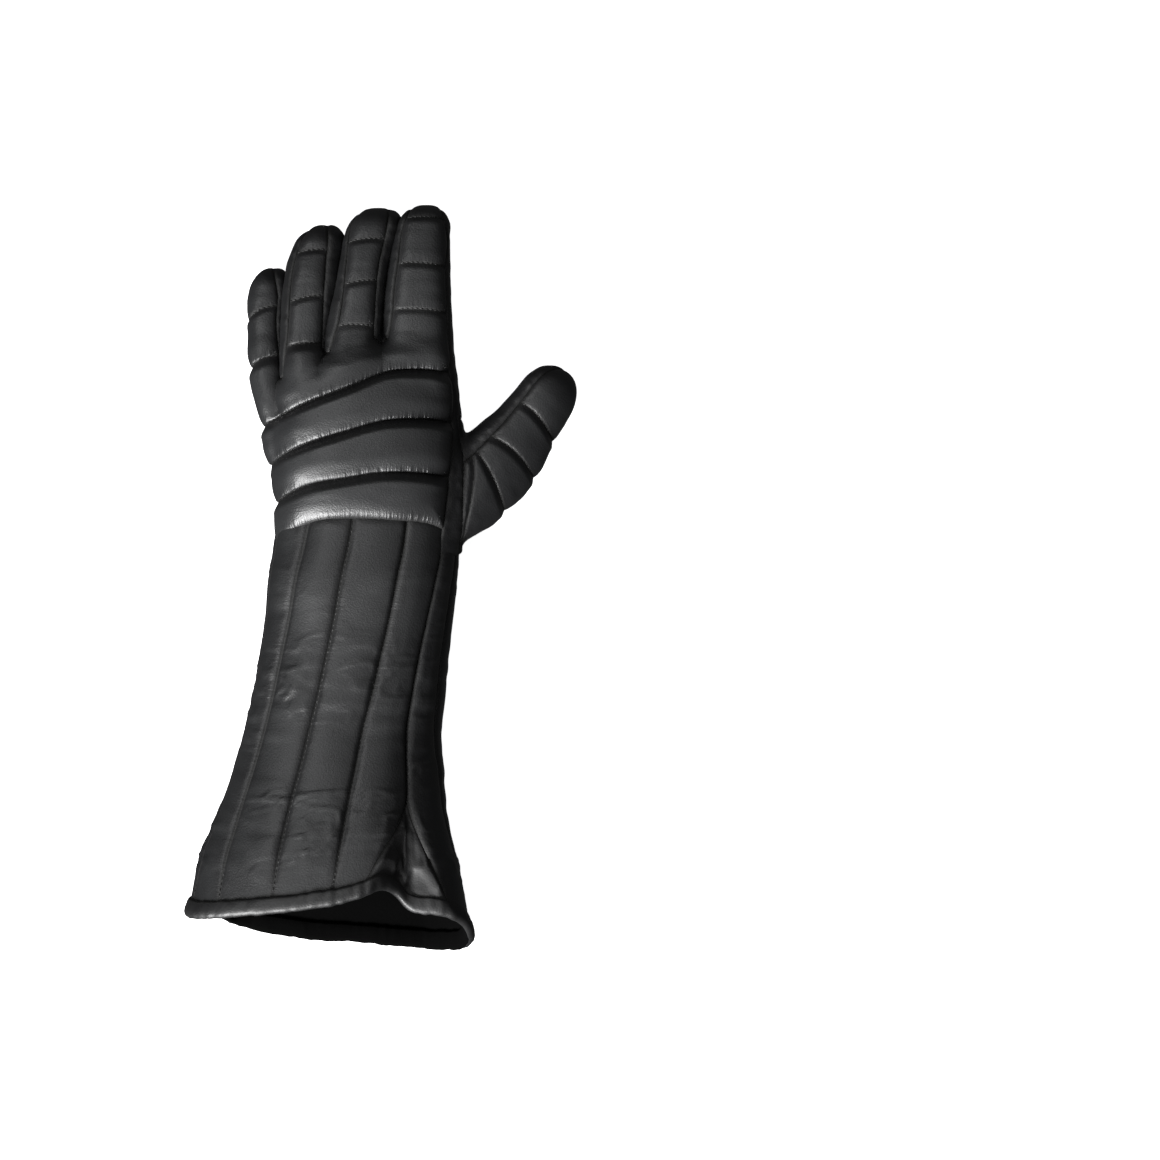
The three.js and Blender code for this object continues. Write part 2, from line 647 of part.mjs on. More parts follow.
// Where each long seam runs, in degrees round the cuff from the thumb's side over the back: at the
// wrist, at a gusset's tip and at the hem.
const BACK_SEAMS = [
  { wrist: 36, tip: 53, hem: 74 },
  { wrist: 64, tip: 80, hem: 90 },
  { wrist: 99, tip: 111, hem: 115 },
  { wrist: 132, tip: 139, hem: 141 },
  { wrist: 162, tip: 166, hem: 162 },
  { wrist: 200, tip: 212, hem: 192 },
];
const PALM_SEAMS = [
  { wrist: 200, tip: 212, hem: 230 },
  { wrist: 226, tip: 234, hem: 242 },
  { wrist: 258, tip: 259, hem: 264 },
  { wrist: 294, tip: 289, hem: 287 },
  { wrist: 328, tip: 321, hem: 314 },
  { wrist: 362, tip: 362, hem: 352 },
  { wrist: 396, tip: 413, hem: 407 },
];
const GUSSET_TIP = 0.7; // share of CUFF_LENGTH
const BINDING_LIFT = BINDING_GAP + BINDING_LEATHER; // the hem's height over the floor
const THUMB_GUSSET = [turnedBack(PALM_SEAMS[PALM_SEAMS.length - 1]), BACK_SEAMS[0]];
const LITTLE_GUSSET = [BACK_SEAMS[BACK_SEAMS.length - 1], PALM_SEAMS[0]];
const CUFF_PLACES = [-1, 0, 0.1, 0.16, 0.26, 0.38, 0.5, 0.6, 0.7, 0.8, 0.9, 0.96, 1];
const CHANNEL_SHOULDER = 0.36;

function seamAngle(seam, at) {
  const share = clamp(at, 0, 1);
  return share < GUSSET_TIP
    ? lerp(seam.wrist, seam.tip, share / GUSSET_TIP)
    : lerp(seam.tip, seam.hem, (share - GUSSET_TIP) / (1 - GUSSET_TIP));
}

// How deep a gusset's fold is at an angle: 0 at its two seams and 1 on its middle line.
function foldShare(at, angle) {
  for (const gusset of [THUMB_GUSSET, LITTLE_GUSSET]) {
    const [low, high] = gusset.map((seam) => seamAngle(seam, at));
    if (high > low && angle > low && angle < high)
      return (1 - Math.abs((2 * (angle - low)) / (high - low) - 1)) * smooth(at, GUSSET_TIP, 1);
  }
  return 0;
}

// A point of the cuff. inset moves it into the leather, and pad is the quilting's height there.
function cuffPoint(at, degrees, inset, pad) {
  const { c, s } = rounded(degrees * deg, Math.sin(degrees * deg) > 0 ? BACK_POWER : PALM_POWER);
  const wrist = HAND_SECTIONS[1];
  const tucked = LEATHER + TUCK_GAP;
  const value = (column) => along(CUFF_SECTIONS, at, column);
  const turned = ((degrees % 360) + 360) % 360;
  const sink = FOLD_DEPTH * foldShare(at, turned) + inset - pad;
  const wristWidth = wrist.width * PALM_WIDTH - 2 * tucked;
  const wristDepth = wrist.depth * PALM_DEPTH - 2 * tucked;
  const halfWidth = lerp(wristWidth, MOUTH_WIDTH, value("spread")) / 2 - sink;
  const depth = lerp(wristDepth, MOUTH_DEPTH, value("spread"));
  const lift = tucked * (1 - smooth(at, 0.1, 0.3));
  const palmSide = (1 - Math.sin(degrees * deg)) / 2;
  const drop = PALM_HEM_DROP * palmSide * smooth(at, 0.3, 1) * Math.max(at, 0);
  const floor = tucked * (1 - smooth(at, 0.1, 0.16)) + BINDING_LIFT * smooth(at, 0.86, 0.94);
  return new THREE.Vector3(
    wrist.middle * PALM_WIDTH - value("lean") * CUFF_LEAN + halfWidth * c,
    -at * CUFF_LENGTH - drop,
    Math.max(lift + depth / 2 + (depth / 2 - sink) * s - FLOOR_PRESS, inset + floor),
  );
}

const cuffPlace = (place) => (place < 0 ? -CUFF_TUCK / CUFF_LENGTH : place);
const angleOf = (length, at) => (length / (lerp(PALM_WIDTH, MOUTH_WIDTH, clamp(at, 0, 1)) / 2)) / deg;

// Height of the quilting in a channel: none under the hand and none under the binding.
function channelPad(at, share) {
  const bound = (BINDING_WIDTH * 1.6) / CUFF_LENGTH;
  const length = smooth(at, 0.1, 0.17) * (1 - smooth(at, 1 - 2 * bound, 1 - bound));
  return CUFF_PAD * swell(share, CHANNEL_SHOULDER) * length;
}

const CHANNEL_SHARES = [0, CHANNEL_SHOULDER * 0.5, 0.5, 1 - CHANNEL_SHOULDER * 0.5];
const GUSSET_SHARES = [0, 0.25, 0.5, 0.75];

// The columns of a panel: each lies at a share of the way from one long seam to the next.
function columnsOf(seams, shares) {
  const columns = [];
  for (let i = 0; i < seams.length - 1; i += 1)
    for (const share of shares) columns.push({ from: seams[i], to: seams[i + 1], share });
  return columns;
}

const columnAngle = ({ from, to, share }, at) =>
  lerp(seamAngle(from, at), seamAngle(to, at), share);

// The grid of a panel from its first seam to its last, short of both by the daylight in a seam.
function panelGrid(seams, shares, places, inset, padAt) {
  const last = { from: seams[seams.length - 2], to: seams[seams.length - 1], share: 1 };
  const columns = [...columnsOf(seams, shares), last];
  return places.map((at) =>
    columns.map((column, i) => {
      const edge = i === 0 ? 1 : i === columns.length - 1 ? -1 : 0;
      const angle = columnAngle(column, at) + edge * angleOf(SEAM_GAP / 2, at);
      return cuffPoint(at, angle, inset, padAt(at, column.share));
    }),
  );
}

// A panel of quilted channels.
function cuffPanel(seams) {
  const places = CUFF_PLACES.map(cuffPlace);
  return between(
    panelGrid(seams, CHANNEL_SHARES, places, 0, channelPad),
    panelGrid(seams, CHANNEL_SHARES, places, LEATHER, () => 0),
  );
}

// A soft gusset between two panels, from its tip to the hem, folded in along its middle.
function cuffGusset(seams) {
  const places = [GUSSET_TIP + 0.04, 0.8, 0.9, 0.96, 1];
  return between(
    panelGrid(seams, GUSSET_SHARES, places, 0, () => 0),
    panelGrid(seams, GUSSET_SHARES, places, LEATHER, () => 0),
  );
}

// The binding: a band folded over the hem, all round the mouth.
function hemBinding() {
  const far = BINDING_GAP + BINDING_LEATHER;
  const cover = 1 - BINDING_WIDTH / CUFF_LENGTH;
  const reach = (length) => 1 + length / CUFF_LENGTH;
  const profile = [
    { at: cover, inset: -BINDING_GAP },
    { at: cover, inset: -far },
    { at: reach(BINDING_GAP), inset: -far },
    { at: reach(far), inset: -far / 2 },
    { at: reach(far), inset: LEATHER + far / 2 },
    { at: reach(BINDING_GAP), inset: LEATHER + far },
    { at: cover, inset: LEATHER + far },
    { at: cover, inset: LEATHER + BINDING_GAP },
    { at: reach(BINDING_GAP), inset: LEATHER + BINDING_GAP },
    { at: reach(BINDING_GAP), inset: -BINDING_GAP },
  ];
  const columns = [
    ...columnsOf(THUMB_GUSSET, GUSSET_SHARES),
    ...columnsOf(BACK_SEAMS, CHANNEL_SHARES),
    ...columnsOf(LITTLE_GUSSET, GUSSET_SHARES),
    ...columnsOf(PALM_SEAMS, CHANNEL_SHARES),
  ];
  const rings = columns.map((column) =>
    profile.map(({ at, inset }) => cuffPoint(at, columnAngle(column, at), inset, 0)),
  );
  const points = rings.flat();
  const triangles = [];
  const count = profile.length;
  for (let i = 0; i < rings.length; i += 1)
    for (let j = 0; j < count; j += 1) {
      const [a, b] = [i * count, ((i + 1) % rings.length) * count];
      const k = (j + 1) % count;
      triangles.push([a + j, a + k, b + k], [a + j, b + k, b + j]);
    }
  return solidOf(points, triangles);
}

// The tag lies on the back panel beside the little finger's side seam.
const TAG_PLACE = 0.55; // share of CUFF_LENGTH at its middle

function sideTag() {
  const [from, to] = BACK_SEAMS.slice(-2);
  const shoulder = CHANNEL_SHOULDER * 0.5;
  const grid = (lift) =>
    [-0.5, 0, 0.5].map((step) => {
      const at = TAG_PLACE + (step * TAG_LENGTH) / CUFF_LENGTH;
      const [low, high] = [seamAngle(from, at), seamAngle(to, at)];
      const width = angleOf(TAG_WIDTH, at) / (high - low);
      return [1 - width, 1 - shoulder, 1].map((share) => {
        const pad = channelPad(at, 1 - shoulder) * Math.min(1, (1 - share) / shoulder);
        return cuffPoint(at, lerp(low, high, share), 0, pad + lift);
      });
    });
  return between(grid(TAG_GAP + TAG_CLOTH), grid(TAG_GAP));
}

// Assembly

const BLACK_LEATHER = { color: "#2b2d2e", roughness: 0.42, metalness: 0 };
const BLACK_WEAVE = { color: "#1b1b1c", roughness: 0.85, metalness: 0 };

function meshOf(name, solid, look = BLACK_LEATHER) {
  const { vertProperties, triVerts, numProp } = solid.getMesh();
  const count = vertProperties.length / numProp;
  const positions = new Float32Array(count * 3);
  for (let i = 0; i < count; i += 1)
    positions.set(vertProperties.subarray(i * numProp, i * numProp + 3), i * 3);
  const geometry = new THREE.BufferGeometry();
  geometry.setAttribute("position", new THREE.BufferAttribute(positions, 3));
  geometry.setIndex(new THREE.BufferAttribute(triVerts, 1));
  geometry.computeVertexNormals();
  const mesh = new THREE.Mesh(geometry, new THREE.MeshStandardMaterial(look));
  mesh.name = name;
  return mesh;
}

const thumbShell = lowerHand.intersect(thumbRegion(-gap));
const palmSide = lowerHand.subtract(thumbRegion(gap));

const glove = new THREE.Group();
glove.add(
  meshOf("back_panel", mainBody(backPanel)),
  meshOf("palm_panel", mainBody(palmSide.subtract(insertRegion(gap)))),
  meshOf("finger_front_insert", mainBody(palmSide.intersect(insertRegion(-gap)))),
  meshOf("fourchette_ring_little", stripBetween(0)),
  meshOf("fourchette_middle_ring", stripBetween(1)),
  meshOf("fourchette_index_middle", stripBetween(2)),
  meshOf("thumb_back", mainBody(thumbShell.intersect(thumbBackBlock(gap, true)))),
  meshOf("thumb_front", mainBody(thumbShell.intersect(thumbBackBlock(-gap, false)))),
  meshOf("cuff_back", cuffPanel(BACK_SEAMS)),
  meshOf("cuff_palm", cuffPanel(PALM_SEAMS)),
  meshOf("cuff_gusset_thumb_side", cuffGusset(THUMB_GUSSET)),
  meshOf("cuff_gusset_little_side", cuffGusset(LITTLE_GUSSET)),
  meshOf("hem_binding", hemBinding()),
  meshOf("side_tag", sideTag(), BLACK_WEAVE),
);
// The origin lies on the floor under the middle of the whole.
const extent = new THREE.Box3().setFromObject(glove);
const middle = extent.getCenter(new THREE.Vector3());
glove.position.set(-middle.x, -middle.y, -extent.min.z);
glove.updateMatrixWorld(true);

export default glove;
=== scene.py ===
# %% [markdown]
# A padded leather gauntlet, lying on its palm
#
# The real glove is cut from soft black leather and sewn over foam. Leather over foam has two
# looks at once: full round rolls between the stitch lines, and sharp puckered valleys on them.
# The CAD model fixes the size and the place of every piece. This script gives each piece its
# looks: its swelling, its folds, its stitches and its leather.
# All shapes are worked out with numpy in millimetres, and turned into metres at the very end.

import math

import bpy
import numpy as np
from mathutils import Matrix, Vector
from mathutils.kdtree import KDTree


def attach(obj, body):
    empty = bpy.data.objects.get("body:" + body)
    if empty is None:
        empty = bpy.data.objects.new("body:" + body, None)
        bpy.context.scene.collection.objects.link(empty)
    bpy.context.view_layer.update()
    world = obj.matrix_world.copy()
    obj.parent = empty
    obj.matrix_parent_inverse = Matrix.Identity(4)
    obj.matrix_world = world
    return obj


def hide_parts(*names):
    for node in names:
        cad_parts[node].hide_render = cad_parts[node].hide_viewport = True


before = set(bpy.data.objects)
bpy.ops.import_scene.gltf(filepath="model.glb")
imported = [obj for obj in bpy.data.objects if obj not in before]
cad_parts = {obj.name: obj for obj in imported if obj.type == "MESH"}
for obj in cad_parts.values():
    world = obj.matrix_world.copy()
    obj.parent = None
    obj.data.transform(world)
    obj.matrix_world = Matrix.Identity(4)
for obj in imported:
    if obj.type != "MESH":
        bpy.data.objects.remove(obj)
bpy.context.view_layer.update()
WRIST = np.array([-10.5, 32.2, 0.0])  # the middle of the wrist seam, in the frame, in mm

# %% [markdown]
# Small tools
#
# Everything soft here is described by a few short tables: a row is a section of the hand, of a
# finger or of the cuff. A cubic curve through the rows gives a surface without kinks. A noise
# that is cheap and always the same supplies what a hand would do by chance.

# %% Curves through tables
def rows_of(columns, *rows):
    """A table: each row becomes a dictionary by the names of the columns."""
    return [dict(zip(columns.split(), row)) for row in rows]


def along(rows, at, column):
    """The value of a column at a place, on a smooth curve through the rows."""
    xs = np.array([row["at"] for row in rows], float)
    ys = np.array([row[column] for row in rows], float)
    slopes = np.gradient(ys, xs)
    at = np.clip(at, xs[0], xs[-1])
    i = np.clip(np.searchsorted(xs, at, side="right") - 1, 0, len(xs) - 2)
    width = xs[i + 1] - xs[i]
    t = (at - xs[i]) / width
    start = (1 + 2 * t) * (1 - t) ** 2 * ys[i] + t * (1 - t) ** 2 * width * slopes[i]
    end = t * t * (3 - 2 * t) * ys[i + 1] - t * t * (1 - t) * width * slopes[i + 1]
    return start + end


def columns_at(rows, at, names):
    return [along(rows, at, name) for name in names.split()]


def smoothstep(x, low, high):
    """0 up to low, 1 from high on, and a soft step between them."""
    t = np.clip((x - low) / (high - low), 0, 1)
    return t * t * (3 - 2 * t)


def unit(vectors):
    return vectors / np.maximum(np.linalg.norm(vectors, axis=-1, keepdims=True), 1e-9)


def rounded(power, *parts):
    """Shares of the way to the surface along several axes as one share, with rounded corners."""
    return sum(part**power for part in parts) ** (1 / power)


def roll(distance, reach):
    """A quarter circle: 0 on a stitch line, and 1 at reach millimetres from it."""
    near = np.clip(distance / reach, 0, 1)
    return np.sqrt(np.maximum(1 - (1 - near) ** 2, 0))


def lattice(cells, seed):
    """A repeatable random number from -1 to 1 at each whole-numbered cell."""
    mixed = cells.astype(np.int64) @ np.array([73856093, 19349663, 83492791]) + seed * 2654435761
    mixed = (mixed ^ (mixed >> 13)) * 1274126177 & 0x7FFFFFFF
    mixed = (mixed ^ (mixed >> 16)) * 668265263 & 0x7FFFFFFF
    return (mixed % 65536) / 32767.5 - 1


def noise(points, size, seed=0):
    """Smooth noise from -1 to 1. size is the width of a lump in mm: one number, or one an axis."""
    scaled = points / np.asarray(size, float)
    cell = np.floor(scaled).astype(int)
    f = scaled - cell
    f = f * f * f * (f * (f * 6 - 15) + 10)
    total = np.zeros(len(points))
    for corner in np.ndindex(2, 2, 2):
        weight = np.prod(np.where(corner, f, 1 - f), axis=1)
        total += weight * lattice(cell + np.array(corner), seed)
    return total


print("noise", noise(np.array([[0.5, 0.5, 0.5], [3.2, 1.0, 7.0]]), 2.0))

# %% [markdown]
# The hand as a distance field
#
# A glove's fingers grow out of its palm without a corner anywhere. Lofted tubes would leave hard
# joins, so the hand is a field instead: at each point of a grid, how far it is to the leather.
# Fields of single fingers are simple, and a soft minimum melts them together at their roots.

# %% Sizes of the hand
PALM_LENGTH = 82.0  # wrist seam to knuckle seam, along the middle of the back
PALM_WIDTH = 114.0
FINGER_DEPTH = 31.0
THUMB_LENGTH = 122.3
THUMB_DEPTH = 30.0
THUMB_ANGLE = math.radians(49)
FLOOR_PRESS = 2.5  # how far the glove's weight presses it down, in mm

# at is the distance from the wrist seam in shares of PALM_LENGTH; left and right are the edges in
# shares of PALM_WIDTH, and top and bottom are heights in mm.
HAND_SECTIONS = rows_of("at left right top bottom",
    (-0.4, -0.455, 0.445, 58.0, -2.0),
    (0.0, -0.458, 0.455, 58.5, -2.0),
    (0.33, -0.472, 0.472, 59.0, -2.0),
    (0.67, -0.485, 0.468, 56.0, -1.6),
    (1.0, -0.5, 0.435, 51.0, 1.5),
    (1.2, -0.5, 0.41, 46.5, 7.0),
    (1.4, -0.49, 0.4, 43.0, 12.0))
# Where the hand's body ends under the fingers' roots: across in shares of PALM_WIDTH, and end in
# shares of PALM_LENGTH.
KNUCKLE_LINE = rows_of("at end",
    (-0.55, 0.88), (-0.4, 0.98), (-0.18, 1.17), (0.07, 1.28), (0.3, 1.27), (0.5, 1.2))
KNUCKLE_ROUNDING = 26.0
# The powers say how square a section is, and the end powers how square an end: 2 is an ellipse.
BACK_POWER = 2.3
PALM_POWER = 2.9
HAND_END_POWER = 2.4

# Each finger from its root to its tip, in mm past the wrist seam. left and right are its sides, and
# seam_left and seam_right the edges of its quilted back: 99 is beyond the hand's own edge. rise and
# fall are the root's height and the tip's drop. rolls are the stitch lines across the back: where,
# and how much they slant.
FINGERS = {
    "little": {
        "root": 51.0, "tip": 150.0, "depth": 0.8, "rise": 27.0, "fall": 13.5,
        "rows": rows_of("at left right seam_left seam_right",
            (46, -59.0, -42.0, -99.0, -46.0),
            (64, -62.0, -47.5, -99.0, -48.5),
            (82, -66.8, -50.0, -99.0, -50.6),
            (99, -69.9, -50.3, -99.0, -53.2),
            (117, -71.6, -50.3, -99.0, -54.8),
            (134, -71.6, -50.0, -99.0, -54.6),
            (150, -67.6, -48.2, -99.0, -58.5)),
        "rolls": rows_of("at slant", (95.5, 0.3), (125.0, 0.34)),
    },
    "ring": {
        "root": 80.0, "tip": 174.2, "depth": 0.94, "rise": 32.5, "fall": 14.5,
        "rows": rows_of("at left right seam_left seam_right",
            (66, -51.5, -24.0, -49.0, -26.0),
            (88, -51.0, -25.2, -47.8, -26.2),
            (105, -50.7, -24.4, -46.0, -26.6),
            (123, -50.4, -21.5, -45.2, -26.0),
            (140, -49.2, -18.7, -44.6, -25.4),
            (152, -47.6, -17.8, -42.8, -25.0),
            (163, -43.8, -16.2, -39.8, -24.2),
            (175, -38.8, -14.2, -34.0, -26.0)),
        "rolls": rows_of("at slant", (102.4, 0.1), (129.6, 0.2), (158.1, 0.08)),
    },
    "middle": {
        "root": 90.0, "tip": 184.0, "depth": 0.97, "rise": 33.5, "fall": 15.5,
        "rows": rows_of("at left right seam_left seam_right",
            (74, -26.5, 8.0, -22.5, 3.5),
            (99, -25.8, 7.4, -20.5, 3.4),
            (117, -23.0, 7.6, -15.5, 4.0),
            (134, -19.3, 8.8, -13.6, 4.8),
            (152, -16.4, 11.6, -12.4, 6.6),
            (163, -15.2, 14.0, -11.8, 8.8),
            (175, -12.4, 18.0, -9.6, 10.6),
            (184, -11.0, 21.0, -4.0, 10.4)),
        "rolls": rows_of("at slant", (113.0, 0.02), (138.6, 0.16), (164.2, 0.08)),
    },
    "index": {
        "root": 90.0, "tip": 185.8, "depth": 1.0, "rise": 32.0, "fall": 13.5,
        "rows": rows_of("at left right seam_left seam_right",
            (74, 9.0, 50.5, 12.0, 99.0),
            (99, 8.6, 48.4, 11.0, 99.0),
            (117, 8.8, 47.2, 14.4, 99.0),
            (134, 10.0, 46.2, 15.6, 99.0),
            (152, 12.0, 45.6, 17.8, 99.0),
            (169, 15.2, 45.2, 19.4, 99.0),
            (185, 18.4, 46.4, 24.5, 99.0)),
        "rolls": rows_of("at slant", (122.4, -0.03), (149.6, -0.03), (177.5, 0.0)),
    },
}
FINGER_POWER = 2.8
FINGER_END_POWER = 2.2
FINGER_TIP = 14.0  # the length of the rounded tip in mm
FINGER_ROOT = 22.0  # and of the rounded root, which lies in the hand
FALL_POWER = 1.7

# The thumb, from its root at the wrist to its tip, in mm along its axis. middle is how far its
# middle line lies off that axis towards the index finger. depth and rise are shares of THUMB_DEPTH.
THUMB_SECTIONS = rows_of("at middle half depth rise",
    (-12, -3.0, 21.0, 1.62, 0.84),
    (8, -3.4, 20.0, 1.56, 0.8),
    (35, -4.3, 21.2, 1.4, 0.71),
    (54, -4.4, 22.4, 1.22, 0.63),
    (66, -4.1, 21.2, 1.14, 0.6),
    (80, -3.3, 18.4, 1.06, 0.56),
    (94, -1.8, 16.6, 1.0, 0.53),
    (110, -0.2, 15.4, 0.96, 0.5),
    (124, 0.6, 14.8, 0.92, 0.48))
THUMB_ROOT = {"x": 34.2, "y": -4.1}
# Stitch lines across its back, in mm along its axis. Each tilts, and bends back at its sides.
THUMB_ROLLS = rows_of("at tilt bend middle",
    (49.5, 0.27, 0.0085, 5.3),
    (67.2, 0.0, 0.0114, -3.6),
    (92.0, 0.0, 0.0133, 1.5))
# Two loose folds run from the crotch down to the wrist, beside the palm. at is y and x is x in mm.
THUMB_FOLDS = [
    rows_of("at x", (-16, 53.2), (-11, 54.0), (23, 55.8), (46, 56.6)),
    rows_of("at x", (-16, 54.5), (-8, 55.6), (12, 60.0), (29, 61.7), (46, 59.0)),
]
FOLDS_END = 44.0
THUMB_LEAN = 0.24  # the thumb's back slopes down to its outer side
THUMB_TIP = 19.0
THUMB_ROOT_END = 18.0
THUMB_POWER = 2.2
THUMB_END_POWER = 2.1
ALONG_THUMB = np.array([math.cos(THUMB_ANGLE), math.sin(THUMB_ANGLE)])
ACROSS_THUMB = np.array([-ALONG_THUMB[1], ALONG_THUMB[0]])  # towards the index finger


# %% Middle lines of the fingers and of the thumb
def finger_place(finger, y):
    """Share of the finger's length at a y, and its middle line there: x, height and slope."""
    length = finger["tip"] - finger["root"]
    t = (y - finger["root"]) / length
    left, right = columns_at(finger["rows"], y, "left right")
    ahead = np.clip(t, 0, 1.1)
    z = finger["rise"] - FLOOR_PRESS * 0.4 - finger["fall"] * ahead**FALL_POWER
    slope = -finger["fall"] * FALL_POWER * ahead ** (FALL_POWER - 1) / length
    return t, (left + right) / 2, z, slope


def thumb_place(x, y):
    """Millimetres along the thumb, millimetres across its middle line, and that line's height."""
    dx, dy = x - THUMB_ROOT["x"], y - THUMB_ROOT["y"]
    t = dx * ALONG_THUMB[0] + dy * ALONG_THUMB[1]
    across = dx * ACROSS_THUMB[0] + dy * ACROSS_THUMB[1] - along(THUMB_SECTIONS, t, "middle")
    height = along(THUMB_SECTIONS, t, "rise") * THUMB_DEPTH - FLOOR_PRESS * 0.6
    return t, across, height + THUMB_LEAN * across


# %% Fields of the single parts
GRID_STEP = 1.0
GRID_LOW = np.array([-84.0, -34.0, -4.0])
GRID_HIGH = np.array([134.0, 196.0, 70.0])
counts = np.round((GRID_HIGH - GRID_LOW) / GRID_STEP).astype(int) + 1
grid_x, grid_y, grid_z = [
    (GRID_LOW[a] + GRID_STEP * np.arange(counts[a])).reshape([-1 if a == b else 1 for b in range(3)])
    for a in range(3)
]


def as_distance(ratio):
    """Turns a field that is 0 on the surface into millimetres, by dividing by its own slope."""
    gx, gy, gz = np.gradient(ratio.astype(np.float32), GRID_STEP)
    return ratio / np.maximum(np.sqrt(gx * gx + gy * gy + gz * gz), 1e-3)


def finger_field(finger):
    """A tube of squarish section along the finger's middle line, closed at both ends."""
    t, x, z, slope = finger_place(finger, grid_y)
    left, right = columns_at(finger["rows"], grid_y, "left right")
    half_width = (right - left) / 2
    half_depth = finger["depth"] * FINGER_DEPTH / 2 * (1 - 0.12 * smoothstep(t, 0.4, 0.95))
    across = np.abs(grid_x - x) / half_width
    over = np.abs((grid_z - z) / np.sqrt(1 + slope**2)) / half_depth
    ring = rounded(FINGER_POWER, across, over)
    past_tip = np.clip((grid_y - (finger["tip"] - FINGER_TIP)) / FINGER_TIP, 0, None)
    past_root = np.clip((finger["root"] - grid_y) / FINGER_ROOT, 0, None)
    return as_distance(rounded(FINGER_END_POWER, ring, past_tip, past_root) - 1)


def hand_field():
    """The hand's body up to the knuckles: domed on its back and flat in its palm."""
    left, right, top, bottom = columns_at(HAND_SECTIONS, grid_y / PALM_LENGTH, "left right top bottom")
    left, right = left * PALM_WIDTH, right * PALM_WIDTH
    across = np.abs(grid_x - (left + right) / 2) / ((right - left) / 2)
    over = (grid_z - (top + bottom) / 2) / ((top - bottom) / 2)
    upper, lower = [rounded(power, across, np.abs(over)) for power in (BACK_POWER, PALM_POWER)]
    ring = np.where(over > 0, upper, lower)
    end = along(KNUCKLE_LINE, grid_x / PALM_WIDTH, "end") * PALM_LENGTH
    past_end = np.clip((grid_y - (end - KNUCKLE_ROUNDING)) / KNUCKLE_ROUNDING, 0, None)
    return as_distance(rounded(HAND_END_POWER, ring, past_end) - 1)


def thumb_field():
    t, across, height = thumb_place(grid_x, grid_y)
    half_width, depth = columns_at(THUMB_SECTIONS, t, "half depth")
    half_depth = depth * THUMB_DEPTH / 2
    side = np.abs(across) / half_width
    over = np.abs(grid_z - height) / half_depth
    ring = rounded(THUMB_POWER, side, over)
    past_tip = np.clip((t - (THUMB_LENGTH - THUMB_TIP)) / THUMB_TIP, 0, None)
    past_root = np.clip((-2.5 - t) / THUMB_ROOT_END, 0, None)
    return as_distance(rounded(THUMB_END_POWER, ring, past_tip, past_root) - 1)


def soft_min(a, b, blend):
    """The smaller of two fields, with a soft join as wide as blend where they are nearly equal."""
    h = np.clip(0.5 + 0.5 * (b - a) / blend, 0, 1)
    return b + (a - b) * h - blend * h * (1 - h)


def soft_max(a, b, blend):
    return -soft_min(-a, -b, blend)


# %% The whole hand
WEB_BLEND = 7.0  # how softly a finger grows out of the hand, in mm
THUMB_BLEND = 9.0
FLOOR_BLEND = 3.0
PALM_CLEARANCE = 0.9  # the palm's seams lie this far over the floor
fingers_field = None
for finger in FINGERS.values():
    one = finger_field(finger)
    fingers_field = one if fingers_field is None else soft_min(fingers_field, one, 0.8)
field = soft_min(hand_field(), fingers_field, WEB_BLEND)
field = soft_min(field, thumb_field(), THUMB_BLEND)
field = soft_max(field, PALM_CLEARANCE - grid_z + 0 * field, FLOOR_BLEND).astype(np.float32)
print("field", field.shape, "inside", int((field < 0).sum()))

# %% [markdown]
# From the field to a mesh
#
# A surface net puts one vertex into each grid cell that the surface passes, and one face across
# each grid edge that it crosses. It gives even, nearly square faces, which is what the quilting
# needs later. Newton steps then move every vertex exactly onto the surface.

# %% Surface net
CORNERS = np.array(list(np.ndindex(2, 2, 2)))
EDGES = [(a, b) for a in range(8) for b in range(a + 1, 8)
         if np.abs(CORNERS[a] - CORNERS[b]).sum() == 1]


def surface_net(field):
    """One point for each grid cell on the field's surface, and the quads between them."""
    inside = field < 0
    n = np.array(field.shape) - 1
    held = sum(inside[c[0] : n[0] + c[0], c[1] : n[1] + c[1], c[2] : n[2] + c[2]].astype(np.int8)
               for c in CORNERS)
    cells = np.argwhere((held > 0) & (held < 8))
    number = np.full(n, -1)
    number[tuple(cells.T)] = np.arange(len(cells))
    values = np.stack([field[tuple((cells + c).T)] for c in CORNERS], axis=1)
    total = np.zeros((len(cells), 3))
    crossings = np.zeros((len(cells), 1))
    for a, b in EDGES:
        crossed = ((values[:, a] < 0) != (values[:, b] < 0))[:, None]
        share = values[:, a] / np.where(crossed[:, 0], values[:, a] - values[:, b], 1)
        place = CORNERS[a] + share[:, None] * (CORNERS[b] - CORNERS[a])
        total += np.where(crossed, place, 0)
        crossings += crossed
    points = GRID_LOW + GRID_STEP * (cells + total / crossings)
    quads = []
    for axis in range(3):
        u, v = (axis + 1) % 3, (axis + 2) % 3
        first = np.moveaxis(inside, axis, 0)[:-1]
        second = np.moveaxis(inside, axis, 0)[1:]
        edges = np.argwhere(np.moveaxis(first != second, 0, axis))
        edges = edges[(edges[:, u] > 0) & (edges[:, v] > 0) & (edges[:, u] < n[u]) & (edges[:, v] < n[v])]
        step_u, step_v = np.eye(3, dtype=int)[u], np.eye(3, dtype=int)[v]
        around = [edges - step_u - step_v, edges - step_v, edges, edges - step_u]
        quad = np.stack([number[tuple(c.T)] for c in around], axis=1)
        outward = inside[tuple(edges.T)]
        quads.append(np.where(outward[:, None], quad, quad[:, ::-1]))
    quads = np.concatenate(quads)
    quads = quads[(quads >= 0).all(axis=1)]
    return points, quads


